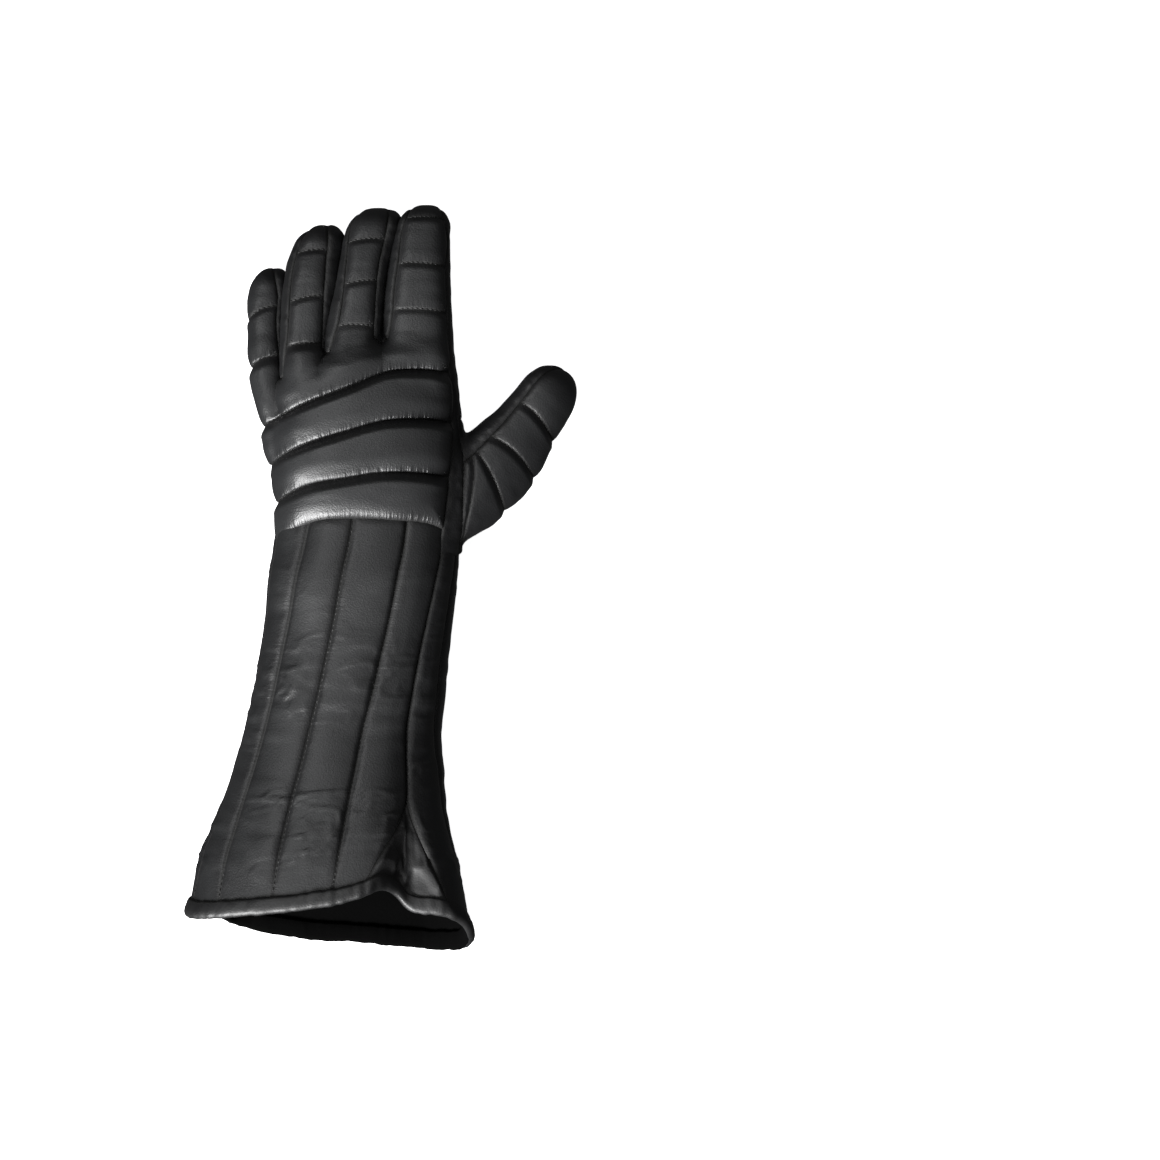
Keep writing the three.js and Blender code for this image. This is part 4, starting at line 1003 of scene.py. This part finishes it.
def grid_normals(grid):
    """Unit normals of a grid of points, pointing out of the cuff."""
    down, across = np.gradient(grid, axis=0), np.gradient(grid, axis=1)
    return unit(np.cross(across, down))


def channel_between(left, right, at):
    """The degrees of a channel's two seams, and how far apart they are in mm."""
    low, high = seam_angle(left, at), seam_angle(right, at)
    return low, high, np.linalg.norm(cuff_point(at, high, 0) - cuff_point(at, low, 0), axis=-1)


def grid_triangles(rows, columns):
    i, j = np.meshgrid(np.arange(rows - 1), np.arange(columns - 1), indexing="ij")
    a = (i * columns + j).ravel()
    b, c, d = a + columns, a + columns + 1, a + 1
    return np.concatenate([np.stack([a, c, b], 1), np.stack([a, d, c], 1)])


def cuff_grid(seams, start, end):
    """Places of a panel's grid: at, degrees, the share across its channel and the channel's width."""
    rows = int((end - start) * CUFF_LENGTH / GRID_MM)
    at = np.linspace(start, end, rows)[:, None]
    degrees, shares, widths = [], [], []
    for left, right in zip(seams, seams[1:]):
        low, high, width = channel_between(left, right, at)
        count = max(int(width.max() / GRID_MM), 6)
        spaced = np.linspace(0, 1, count + 1)[: None if right is seams[-1] else -1]
        bunched = spaced - 0.06 * np.sin(2 * np.pi * spaced)
        degrees.append(low + (high - low) * bunched)
        shares.append(np.broadcast_to(bunched, (rows, len(bunched))))
        widths.append(np.broadcast_to(width, (rows, len(bunched))))
    return at, np.concatenate(degrees, 1), np.concatenate(shares, 1), np.concatenate(widths, 1)


def crease(points, size, seed):
    """Thin raised lines, 1 on the line and 0 beside it, that wander as creases in leather do."""
    bent = points + 3.0 * noise(points, 21.0, seed + 50)[:, None]
    return np.maximum(1 - 4.0 * np.abs(noise(bent, size, seed)), 0)


def channel_height(distance):
    return sum(part["height"] * roll(distance, part["reach"]) for part in (CHANNEL_CREST, CHANNEL_CROWN))


def channel_swelling(at, distance, points):
    """The height of a channel's roll, with its cross folds, which grow towards the mouth."""
    ends = smoothstep(at, -0.03, 0.02) * (1 - smoothstep(at, 0.84, 0.975))
    rise = channel_height(distance) * (1 + 0.15 * noise(points, (22.0, 45.0, 22.0), 21))
    loose = 0.3 + 0.7 * smoothstep(at, 0.1, 0.6)
    here = smoothstep(noise(points, (24.0, 18.0, 24.0), 27), -0.25, 0.5)
    fold = noise(points + 3.0 * noise(points, 21.0, 22)[:, None], (26.0, 6.5, 26.0), 23)
    creases = crease(points, (24.0, 8.0, 24.0), 24) + 0.6 * crease(points, (12.0, 5.0, 12.0), 28)
    rise += (0.4 * fold + 0.75 * creases * here) * loose * smoothstep(distance, 0.3, 4)
    pucker = noise(points, (12.0, 2.8, 12.0), 25) + 0.6 * noise(points, (12.0, 5.0, 12.0), 26)
    rise += 0.14 * pucker * smoothstep(distance, 0.2, 1.2) * (1 - smoothstep(distance, 1.5, 6))
    return rise * ends


def cuff_sheet(name, seams, start, swell):
    """A panel of the cuff between its first and its last seam."""
    at, degrees, share, width = cuff_grid(seams, start, 1.0)
    at = np.broadcast_to(at, degrees.shape)
    base = cuff_point(at, degrees, 0)
    flat = lambda values: values.reshape(-1, *values.shape[2:])
    distance, points, down = flat(np.minimum(share, 1 - share) * width), flat(base), flat(at)
    outer = points + flat(grid_normals(base)) * swell(down, distance, points)[:, None]
    # Near the wrist the palm's leather lies under the cuff, so the cuff keeps off the table there.
    lowest = ON_TABLE + TUCK_CLEARANCE * (1 - smoothstep(down, 0.07, 0.12))
    outer[:, 2] = np.maximum(outer[:, 2], lowest)
    inner = flat(cuff_point(at, degrees, LEATHER))
    print(name, degrees.shape, "grid,", 4 * degrees.size, "triangles")
    faces = grid_triangles(*degrees.shape)
    return leather_piece(name + "_leather", outer, inner, faces, distance, down * CUFF_LENGTH, 0.2)


def seam_path(seam, start, end):
    """The points on a long seam of the cuff, with the way out of the leather."""
    at = np.linspace(start, end, 160)
    on_seam = cuff_point(at, seam_angle(seam, at), 0)
    beside = cuff_point(at, seam_angle(seam, at) + 1.0, 0)
    return on_seam, unit(np.cross(beside - on_seam, np.gradient(on_seam, axis=0)))


for node, seams in {"cuff_back": BACK_CHANNELS, "cuff_palm": PALM_CHANNELS}.items():
    pieces[node] = cuff_sheet(node, seams, -CUFF_TUCK / CUFF_LENGTH, channel_swelling)
for seam in BACK_CHANNELS[1:-1] + PALM_CHANNELS[1:-1]:
    stitch_paths["cuff"].append(seam_path(seam, 0.0, STITCHES_END))


# %% [markdown]
# Sewing the hand to the cuff
#
# The hand and the cuff are made apart, as on a bench, and the hand is the wider of the two. The
# palm and the thumb are drawn in along their wrist edge until they lie on the cuff, as leather is
# eased into a seam. A point near the edge moves towards the nearest point of the cuff.

# %% Sewing the hand to the cuff
SEWN_REACH = 14.0  # how far from the wrist edge the leather is drawn in, in mm
SEWN_GAP = 2.0  # from the leather's outer side to the cuff under it, in mm
SEWN_AIM = 24  # the leather aims at the middle of so many cuff points: at one alone it gets jagged


def made_points(piece):
    """The points of a finished piece in mm of the glove's own frame."""
    flat = np.empty(len(piece.data.vertices) * 3, np.float32)
    piece.data.vertices.foreach_get("co", flat)
    return flat.reshape(-1, 3).astype(float) * 1000 - WRIST


def outer_side(piece):
    points = made_points(piece)
    return points[: len(points) // 2]


cuff_wall = np.concatenate([outer_side(pieces["cuff_back"]), outer_side(pieces["cuff_palm"])])
cuff_wall = cuff_wall[cuff_wall[:, 1] > -50]
cuff_tree = tree_of(cuff_wall)
back_rim = outer_side(pieces["back_panel"])
back_rim = back_rim[back_rim[:, 1] < 20]


def drawn_in(points):
    """How each point near the wrist edge moves. Beside the back of the hand nothing moves."""
    shift = np.zeros_like(points)
    near = np.flatnonzero(palm_wrist_edge(points) < SEWN_REACH)
    if len(near):
        nearest = [cuff_tree.find_n(point, SEWN_AIM) for point in points[near]]
        aim = np.array([np.mean([found[0] for found in group], axis=0) for group in nearest])
        gap = np.linalg.norm(aim - points[near], axis=1)
        from_back, _ = distance_to(back_rim, points[near])
        weight = smoothstep(palm_wrist_edge(points[near]), SEWN_REACH, 1.5)
        weight *= smoothstep(from_back, 0.5, 9.0)
        share = weight * np.maximum(1 - SEWN_GAP / np.maximum(gap, 0.1), 0)
        shift[near] = (aim - points[near]) * share[:, None]
    return shift


for node in ("palm_panel", "thumb_back", "thumb_front"):
    shell = made_points(pieces[node])
    shift = np.tile(drawn_in(shell[: len(shell) // 2]), (2, 1))
    placed = ((shell + shift + WRIST) * 0.001).astype(np.float32)
    pieces[node].data.vertices.foreach_set("co", placed.ravel())
    pieces[node].data.update()
    print(node, "is drawn in by up to", round(float(np.linalg.norm(shift, axis=1).max()), 1), "mm")
stitch_paths["hand"] = [(path + drawn_in(path), out) for path, out in stitch_paths["hand"]]

# %% [markdown]
# Gussets, binding and tag
#
# Two soft gussets let the mouth open for the arm. They aren't padded, so they fold inwards and
# wrinkle. One narrow strip of leather is folded over the raw edge all round the mouth.

# %% Gussets
def gusset_folds(at, distance, points):
    """Soft unpadded leather: long sharp folds towards the hem, crossed by little creases."""
    bent = points + 4.0 * noise(points, 18.0, 30)[:, None]
    fold = 1 - 2.2 * np.abs(noise(bent, (9.0, 26.0, 10.0), 31)) + 0.4 * noise(bent, (5.5, 9.0, 5.5), 32)
    creases = crease(points, (13.0, 7.0, 13.0), 33)
    held = smoothstep(distance, 0.2, 3) * (1 - smoothstep(at, 0.93, 0.97))
    return (1.7 * fold + 0.5 * creases) * held


for node, seams in {"thumb": THUMB_GUSSET, "little": LITTLE_GUSSET}.items():
    node = f"cuff_gusset_{node}_side"
    pieces[node] = cuff_sheet(node, seams, GUSSET_TIP + 0.012, gusset_folds)

# %% Binding round the mouth
# The band's section: place along the cuff past the hem in mm, and inset from the cuff's outside.
BINDING_PROFILE = rows_of("past inset",
    (-8.0, -0.1), (-7.7, -1.2), (-6.5, -1.7), (-5.0, -1.9), (-3.0, -2.2), (-1.0, -2.1), (0.8, -1.4),
    (1.7, 0.0), (1.9, 0.9), (1.7, 1.9), (0.8, 3.2), (-1.0, 3.8), (-4.0, 3.7), (-7.0, 3.4), (-7.8, 2.9),
    (-8.0, 1.7))


def hem_angles(count):
    """Degrees round the whole mouth at the hem, spaced as the leather runs, through the folds."""
    degrees = np.linspace(0, 360, 2000, endpoint=False)
    line = cuff_point(np.ones_like(degrees), degrees, 0)
    length = np.cumsum(np.linalg.norm(np.roll(line, -1, axis=0) - line, axis=1))
    return np.interp(np.linspace(0, length[-1], count, endpoint=False), length, degrees), length[-1]


def hem_binding():
    """A ring of band sections round the mouth, with the small wrinkles of a folded edge."""
    degrees, length = hem_angles(420)
    rings = []
    for row in BINDING_PROFILE:
        at = np.full_like(degrees, 1 + row["past"] / CUFF_LENGTH)
        rings.append(cuff_point(at, degrees, row["inset"]))
    grid = np.stack(rings, axis=1)
    middle = grid.mean(axis=1, keepdims=True)
    out = unit(grid - middle)
    points = grid.reshape(-1, 3)
    wrinkle = noise(points, (3.2, 9.0, 3.2), 41) * 0.32 + noise(points, 9.0, 42) * 0.4
    points = points + out.reshape(-1, 3) * wrinkle[:, None]
    points[:, 2] = np.maximum(points[:, 2], ON_TABLE)
    rows, columns = grid.shape[:2]
    i, j = np.meshgrid(np.arange(rows), np.arange(columns), indexing="ij")
    next_i, next_j = (i + 1) % rows, (j + 1) % columns
    a, b = (i * columns + j).ravel(), (i * columns + next_j).ravel()
    c, d = (next_i * columns + next_j).ravel(), (next_i * columns + j).ravel()
    faces = np.concatenate([np.stack([a, b, c], 1), np.stack([a, c, d], 1)])
    edge = np.minimum([row["past"] + 8.0 for row in BINDING_PROFILE], 6.0)
    around = np.repeat(np.linspace(0, length, rows), columns)
    print("binding", round(length), "mm round,", len(faces), "triangles")
    # The band is leather on both sides, yet its inner half gets the near-black inner material: painted
    # shade inside the mouth.
    inside = np.tile([row["inset"] > 1.5 for row in BINDING_PROFILE], rows)
    return make_piece("hem_binding_leather", points, faces, np.tile(edge, rows), around, inside)


pieces["hem_binding"] = hem_binding()

# %% The woven tag in the side seam
TAG_PLACE = 0.55  # a share of CUFF_LENGTH
TAG_LENGTH = 24.0
TAG_WIDTH = 10.0


def side_tag():
    """A folded tag whose cut end goes into the seam, lying on the roll beside it."""
    along_seam = np.linspace(-0.5, 0.5, 33)[:, None] * TAG_LENGTH
    out = np.linspace(0, 1, 15)[None, :] * TAG_WIDTH
    at = TAG_PLACE + along_seam / CUFF_LENGTH + 0 * out
    low, high, width = channel_between(*BACK_CHANNELS[-2:], at)
    degrees = high - (high - low) * out / width
    lift = channel_height(out) + 0.9 + 0.25 * np.sin(along_seam / 5.0)
    flat = lambda values: values.reshape(-1, 3)
    outer = flat(cuff_point(at, degrees, -(lift + 0.8)))
    inner = flat(cuff_point(at, degrees, -lift + 0 * out))
    shell, faces = closed_sheet(outer, inner, grid_triangles(*at.shape)[:, ::-1])
    seam, inside = np.full(len(shell), NO_SEAM), np.zeros(len(shell), bool)
    return make_piece("side_tag_woven", shell, faces, seam, shell[:, 1], inside)


pieces["side_tag"] = side_tag()

# %% [markdown]
# Stitches
#
# A lockstitch shows as a row of short dashes that dip into the leather at both ends. Each dash is
# a small tube of thread. All thousand are made at once, from the paths that were kept above.

# %% Stitches
STITCH_PITCH = {"hand": 2.9, "cuff": 3.2}  # from one needle hole to the next, in mm
THREAD_RADIUS = 0.32
# The dash's section: place along it, thickness as a share of the radius, and height over the leather.
DASH = np.array([
    [0.0, 0.35, -0.15],
    [0.12, 0.9, 0.1],
    [0.5, 1.0, 0.26],
    [0.72, 0.9, 0.1],
    [0.84, 0.35, -0.15],
])
THREAD_SIDES = 6


def in_order(points):
    """The numbers of the points of an open path, from one of its ends to the other."""
    left = np.ones(len(points), bool)
    here = int(np.argmax(np.linalg.norm(points - points.mean(axis=0), axis=1)))
    order = [here]
    for _ in range(len(points) - 1):
        left[here] = False
        gap = np.where(left, np.linalg.norm(points - points[here], axis=1), np.inf)
        here = int(np.argmin(gap))
        if gap[here] > 6:
            break
        order.append(here)
    return order


def dashes(points, normals, pitch):
    """Start, step and way out of every stitch along a path."""
    length = np.concatenate([[0], np.cumsum(np.linalg.norm(np.diff(points, axis=0), axis=1))])
    holes = np.arange(pitch * 0.5, length[-1] - pitch * 0.5, pitch)
    at = lambda where, rows: np.stack([np.interp(where, length, rows[:, k]) for k in range(3)], axis=1)
    start, end = at(holes, points), at(holes + pitch, points)
    return start, end - start, at(holes + pitch / 2, normals)


def sew(name, paths, pitch):
    """All stitches on some paths as one piece: each is a closed tube with the sections of DASH."""
    rows = [dashes(*path, pitch) for path in paths if len(path[0]) > 3]
    start, step, out = [np.concatenate(column)[:, None, None, :] for column in zip(*rows)]
    side = unit(np.cross(step, out))
    turn = 2 * np.pi * np.arange(THREAD_SIDES) / THREAD_SIDES
    place, thick, high = [DASH[:, k][None, :, None, None] for k in range(3)]
    around = side * np.cos(turn)[None, None, :, None] + out * np.sin(turn)[None, None, :, None]
    points = start + step * place + out * high + around * thick * THREAD_RADIUS
    count, rings, sides, _ = points.shape
    one = np.arange(rings * sides).reshape(rings, sides)
    a, b = one[:-1].ravel(), one[1:].ravel()
    c, d = np.roll(one, -1, axis=1)[1:].ravel(), np.roll(one, -1, axis=1)[:-1].ravel()
    caps = [[0, k, k + 1] for k in range(1, sides - 1)]
    caps += [[one[-1, 0], one[-1, k + 1], one[-1, k]] for k in range(1, sides - 1)]
    faces = np.concatenate([np.stack([a, c, b], 1), np.stack([a, d, c], 1), caps])
    faces = (faces[None] + (np.arange(count) * rings * sides)[:, None, None]).reshape(-1, 3)
    points = points.reshape(-1, 3)
    points[:, 2] = np.maximum(points[:, 2], ON_TABLE)
    print(name, count, "stitches,", len(faces), "triangles")
    seam, inside = np.full(len(points), NO_SEAM), np.zeros(len(points), bool)
    return make_piece(name, points, faces, seam, points[:, 1], inside)


stitch_paths["hand"] = [(p[order], n[order]) for p, n in stitch_paths["hand"] if len(p) > 3
                        for order in [in_order(p)]]
threads = {part: sew("stitches_" + part, paths, STITCH_PITCH[part]) for part, paths in stitch_paths.items()}

# %% [markdown]
# Materials
#
# Glove leather is dyed through and finished with a thin satin coat. Up close it has a pebble grain
# about half a millimetre wide, finer creases where it bends, and it is slightly shinier where the
# roll between two stitch lines has been rubbed. Along the seams the colour is painted near black
# and the leather made duller: painted shade, for the deep creases that the light doesn't reach.

# %% Making nodes
def linear(hex_colour):
    """An sRGB hex colour as the linear colour that Blender works with."""
    parts = [int(hex_colour[i : i + 2], 16) / 255 for i in (1, 3, 5)]
    return tuple(p / 12.92 if p <= 0.04045 else ((p + 0.055) / 1.055) ** 2.4 for p in parts) + (1.0,)


def add(material, kind, settings=None, **links):
    """One node: settings by name on the node or on an input, and links by input name."""
    tree = material.node_tree
    node = tree.nodes.new("ShaderNode" + kind)
    for key, value in (settings or {}).items():
        if hasattr(node, key):
            setattr(node, key, value)
        else:
            node.inputs[int(key) if key.isdigit() else key].default_value = value
    for key, socket in links.items():
        name = key.replace("_", " ").strip()
        target = node.inputs[int(name[1:])] if name[0] == "i" and name[1:].isdigit() else node.inputs[name]
        tree.links.new(socket, target)
    return node


def new_material(name):
    material = bpy.data.materials.new(name)
    material.use_nodes = True
    material.node_tree.nodes.clear()
    return material


# %% Satin-finished sheepskin
def glove_leather(name, tint, rubbed, rough, pucker_depth):
    """Chrome-tanned, drum-dyed leather: near black, with a soft satin shine and a fine grain."""
    m = new_material(name)
    place = add(m, "TexCoord").outputs["Object"]
    seam = add(m, "Attribute", {"attribute_name": "seam_mm"}).outputs["Fac"]
    along_seam = add(m, "Attribute", {"attribute_name": "along_mm"}).outputs["Fac"]
    # The pebble grain is 0.9 mm wide here, a little coarser than the real one, so that it shows.
    pebbles = add(m, "TexVoronoi", {"feature": "SMOOTH_F1", "Scale": 1100.0, "Smoothness": 0.6},
                  Vector=place).outputs["Distance"]
    creases = add(m, "TexNoise", {"Scale": 240.0, "Detail": 5.0, "Roughness": 0.6, "Distortion": 0.6},
                  Vector=place).outputs["Fac"]
    cloud = add(m, "TexNoise", {"Scale": 38.0, "Detail": 3.0}, Vector=place).outputs["Fac"]
    # Puckers: gathers every 2 to 3 mm that run straight out of a seam.
    wander = add(m, "Math", {"operation": "MULTIPLY_ADD", "1": 3.0}, i0=cloud,
                 i2=along_seam).outputs["Value"]
    gathers = add(m, "TexNoise", {"noise_dimensions": "1D", "Scale": 0.5, "Detail": 2.0,
                                  "Roughness": 0.6}, W=wander).outputs["Fac"]
    near = add(m, "Attribute", {"attribute_name": "gather"}).outputs["Fac"]
    gathered = add(m, "Math", {"operation": "MULTIPLY"}, i0=near, i1=gathers).outputs["Value"]
    worn = add(m, "MapRange", {"From Min": 0.0, "From Max": 7.0}, Value=seam).outputs["Result"]
    # Painted shade: the dye goes to near black within 0.6 mm of a seam and back by 1.7 mm, for the crease.
    seam_shade = add(m, "MapRange", {"From Min": 0.6, "From Max": 1.7, "To Min": 1.0, "To Max": 0.0},
                 Value=seam).outputs["Result"]
    rub = add(m, "Math", {"operation": "MULTIPLY"}, i0=worn, i1=cloud).outputs["Value"]
    dye = add(m, "Mix", {"data_type": "RGBA", "6": linear(tint), "7": linear(rubbed)},
              i0=rub).outputs[2]
    shaded_dye = add(m, "Mix", {"data_type": "RGBA", "7": linear("#050505")},
               i0=seam_shade, i6=dye).outputs[2]
    dull = add(m, "MapRange", {"From Min": 0.3, "From Max": 0.7, "To Min": rough - 0.05,
                               "To Max": rough + 0.06}, Value=cloud).outputs["Result"]
    duller = add(m, "Math", {"operation": "MULTIPLY_ADD", "1": 0.35}, i0=seam_shade,
                 i2=dull).outputs["Value"]
    grain = add(m, "Math", {"operation": "MULTIPLY_ADD", "1": 0.6}, i0=creases,
                i2=pebbles).outputs["Value"]
    fine = add(m, "Bump", {"Strength": 0.35, "Distance": 0.0003}, Height=grain).outputs["Normal"]
    bump = add(m, "Bump", {"Strength": 1.0, "Distance": pucker_depth}, Height=gathered,
               Normal=fine).outputs["Normal"]
    shader = add(m, "BsdfPrincipled", {"IOR": 1.5, "Coat Weight": 0.15, "Coat Roughness": 0.3},
                 Base_Color=shaded_dye, Roughness=duller, Normal=bump)
    add(m, "OutputMaterial", Surface=shader.outputs["BSDF"])
    return m


# Painted shade: the cuff's and the binding's tints are darker than the hand's, to make up for the light
# that falls more on the cuff's rising slope and on the binding's lower side.
LEATHERS = {
    "quilted_leather": glove_leather("satin_sheepskin_quilted", "#19191a", "#232425", 0.43, 0.0008),
    "palm_leather": glove_leather("satin_sheepskin_palm", "#151516", "#1d1e1f", 0.44, 0.0006),
    "fourchette_leather": glove_leather("satin_sheepskin_strips", "#141415", "#1b1c1d", 0.46, 0.0005),
    "cuff_leather": glove_leather("satin_cowhide_cuff", "#131314", "#1b1c1d", 0.46, 0.0008),
    "gusset_leather": glove_leather("soft_sheepskin_gusset", "#0d0d0e", "#131314", 0.68, 0.0008),
    "binding_leather": glove_leather("rolled_calf_binding", "#0b0b0c", "#111112", 0.52, 0.0008),
}


# %% The leather's inner side
def lining_painted_shade():
    """The flesh side of dyed leather with a short dull nap. Its near-black colour is partly the lining's
    own and partly painted shade, so that the hollow shows black.
    """
    m = new_material("black_lining_painted_shade")
    place = add(m, "TexCoord").outputs["Object"]
    nap = add(m, "TexNoise", {"Scale": 900.0, "Detail": 3.0}, Vector=place).outputs["Fac"]
    colour = add(m, "Mix", {"data_type": "RGBA", "6": linear("#020202"), "7": linear("#050505")},
                 i0=nap).outputs[2]
    bump = add(m, "Bump", {"Strength": 0.5, "Distance": 0.0003}, Height=nap).outputs["Normal"]
    shader = add(m, "BsdfPrincipled", {"Roughness": 1.0, "Specular IOR Level": 0.03},
                 Base_Color=colour, Normal=bump)
    add(m, "OutputMaterial", Surface=shader.outputs["BSDF"])
    return m


# %% Thread
def bonded_thread():
    """Black bonded nylon: two plies twisted together, with a faint gloss on each turn."""
    m = new_material("black_bonded_thread")
    place = add(m, "TexCoord").outputs["Object"]
    twist = add(m, "TexWave", {"bands_direction": "DIAGONAL", "Scale": 420.0},
                Vector=place).outputs["Fac"]
    colour = add(m, "Mix", {"data_type": "RGBA", "6": linear("#060606"), "7": linear("#101011")},
                 i0=twist).outputs[2]
    bump = add(m, "Bump", {"Strength": 0.5, "Distance": 0.0001}, Height=twist).outputs["Normal"]
    shader = add(m, "BsdfPrincipled", {"Roughness": 0.5}, Base_Color=colour, Normal=bump)
    add(m, "OutputMaterial", Surface=shader.outputs["BSDF"])
    return m


shade_black_lining, thread = lining_painted_shade(), bonded_thread()


# %% Black woven ribbon
def woven_ribbon():
    """Polyester satin ribbon: threads 0.4 mm wide, drawn as 0.6 mm so that they show."""
    m = new_material("woven_polyester_ribbon")
    place = add(m, "TexCoord").outputs["Object"]
    weft = add(m, "TexWave", {"bands_direction": "Y", "Scale": 520.0, "Distortion": 0.6},
               Vector=place).outputs["Fac"]
    warp = add(m, "TexWave", {"bands_direction": "Z", "Scale": 520.0, "Distortion": 0.6},
               Vector=place).outputs["Fac"]
    cloth = add(m, "Math", {"operation": "MULTIPLY"}, i0=weft, i1=warp).outputs["Value"]
    colour = add(m, "Mix", {"data_type": "RGBA", "6": linear("#1c1c1e"), "7": linear("#3a3a3d")},
                 i0=cloth).outputs[2]
    bump = add(m, "Bump", {"Strength": 0.6, "Distance": 0.0003}, Height=cloth).outputs["Normal"]
    shader = add(m, "BsdfPrincipled", {"Roughness": 0.6, "IOR": 1.5, "Sheen Weight": 0.2},
                 Base_Color=colour, Normal=bump)
    add(m, "OutputMaterial", Surface=shader.outputs["BSDF"])
    return m


ribbon = woven_ribbon()

# %% Every piece gets its leather and its place in the frame
SLOT_OF = {
    "back_panel": "quilted_leather", "thumb_back": "quilted_leather",
    "palm_panel": "palm_leather", "finger_front_insert": "palm_leather", "thumb_front": "palm_leather",
    "fourchette_ring_little": "fourchette_leather", "fourchette_middle_ring": "fourchette_leather",
    "fourchette_index_middle": "fourchette_leather",
    "cuff_back": "cuff_leather", "cuff_palm": "cuff_leather",
    "cuff_gusset_thumb_side": "gusset_leather", "cuff_gusset_little_side": "gusset_leather",
    "hem_binding": "binding_leather", "side_tag": "woven_tag",
}
for node, piece in pieces.items():
    piece.data.materials.append(ribbon if node == "side_tag" else LEATHERS[SLOT_OF[node]])
    # Every inner side gets the near-black lining, whose colour is partly painted shade.
    piece.data.materials.append(shade_black_lining)
    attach(piece, "root")
    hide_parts(node)
for part, rows in threads.items():
    rows.data.materials.append(thread)
    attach(rows, "root")
print(len(pieces), "pieces ride on the root")

# %% [markdown]
# Table, light and camera
#
# The photograph is a plain product picture: a white table seen from straight above, under a large
# soft light. Black leather shows only by its highlights: a strong light from the lower left draws
# the rolls, and two large weak ones fill the flats between them.

# %% Table
TABLE_HALF = 4.0  # half of its width, in m


def white_table():
    """Matt white, and glowing a little, so that the picture's ground is as even as the photo's."""
    m = new_material("matt_white_laminate")
    place = add(m, "TexCoord").outputs["Object"]
    mottle = add(m, "TexNoise", {"Scale": 6.0, "Detail": 2.0}, Vector=place).outputs["Fac"]
    colour = add(m, "Mix", {"data_type": "RGBA", "6": linear("#f2f2f2"), "7": linear("#f8f8f8")},
                 i0=mottle).outputs[2]
    glow = {"Emission Color": linear("#ffffff"), "Emission Strength": 0.94}
    shader = add(m, "BsdfPrincipled", {"Roughness": 0.7, **glow}, Base_Color=colour)
    add(m, "OutputMaterial", Surface=shader.outputs["BSDF"])
    return m


table_mesh = bpy.data.meshes.new("table")
corners = [(x * TABLE_HALF, y * TABLE_HALF, 0) for x, y in ((-1, -1), (1, -1), (1, 1), (-1, 1))]
table_mesh.from_pydata(corners, [], [(0, 1, 2, 3)])
table = in_scene("table", table_mesh)
table_mesh.materials.append(white_table())
# The leather mustn't mirror a table this bright: black leather shows the dark room at its edges.
table.visible_glossy = False
table.visible_diffuse = False


# %% Lights
def softbox(name, place, size, watts, aim=(0.0, 0.0, 0.02)):
    """A rectangular light of a size in m, turned to the glove."""
    light = bpy.data.lights.new(name, "AREA")
    light.shape = "RECTANGLE"
    light.size, light.size_y = size
    light.energy = watts
    lamp = in_scene(name, light)
    lamp.location = place
    lamp.rotation_euler = (Vector(aim) - Vector(place)).to_track_quat("-Z", "Y").to_euler()


softbox("key_from_below_left", (-1.2, -1.7, 1.3), (1.5, 0.9), 200)
softbox("fill_from_above_left", (-0.9, 0.9, 1.8), (1.0, 1.0), 7)
softbox("overhead", (0.0, 0.35, 2.0), (2.6, 2.6), 8)
world = bpy.data.worlds.new("studio")
world.use_nodes = True
world.node_tree.nodes["Background"].inputs["Color"].default_value = (1, 1, 1, 1)
world.node_tree.nodes["Background"].inputs["Strength"].default_value = 0.05
bpy.context.scene.world = world

# %% Camera
camera_data = bpy.data.cameras.new("overhead_camera")
camera_data.lens = 62.07
camera_data.sensor_width = 36.0
# Without a rotation a camera looks straight down. Its lens and place are fitted to the photo.
camera = in_scene("overhead_camera", camera_data)
camera.location = (0.1125, -0.0023, 1.2)
bpy.context.scene.camera = camera
bpy.context.scene.view_settings.view_transform = "Standard"

# %% Done
bpy.context.view_layer.update()
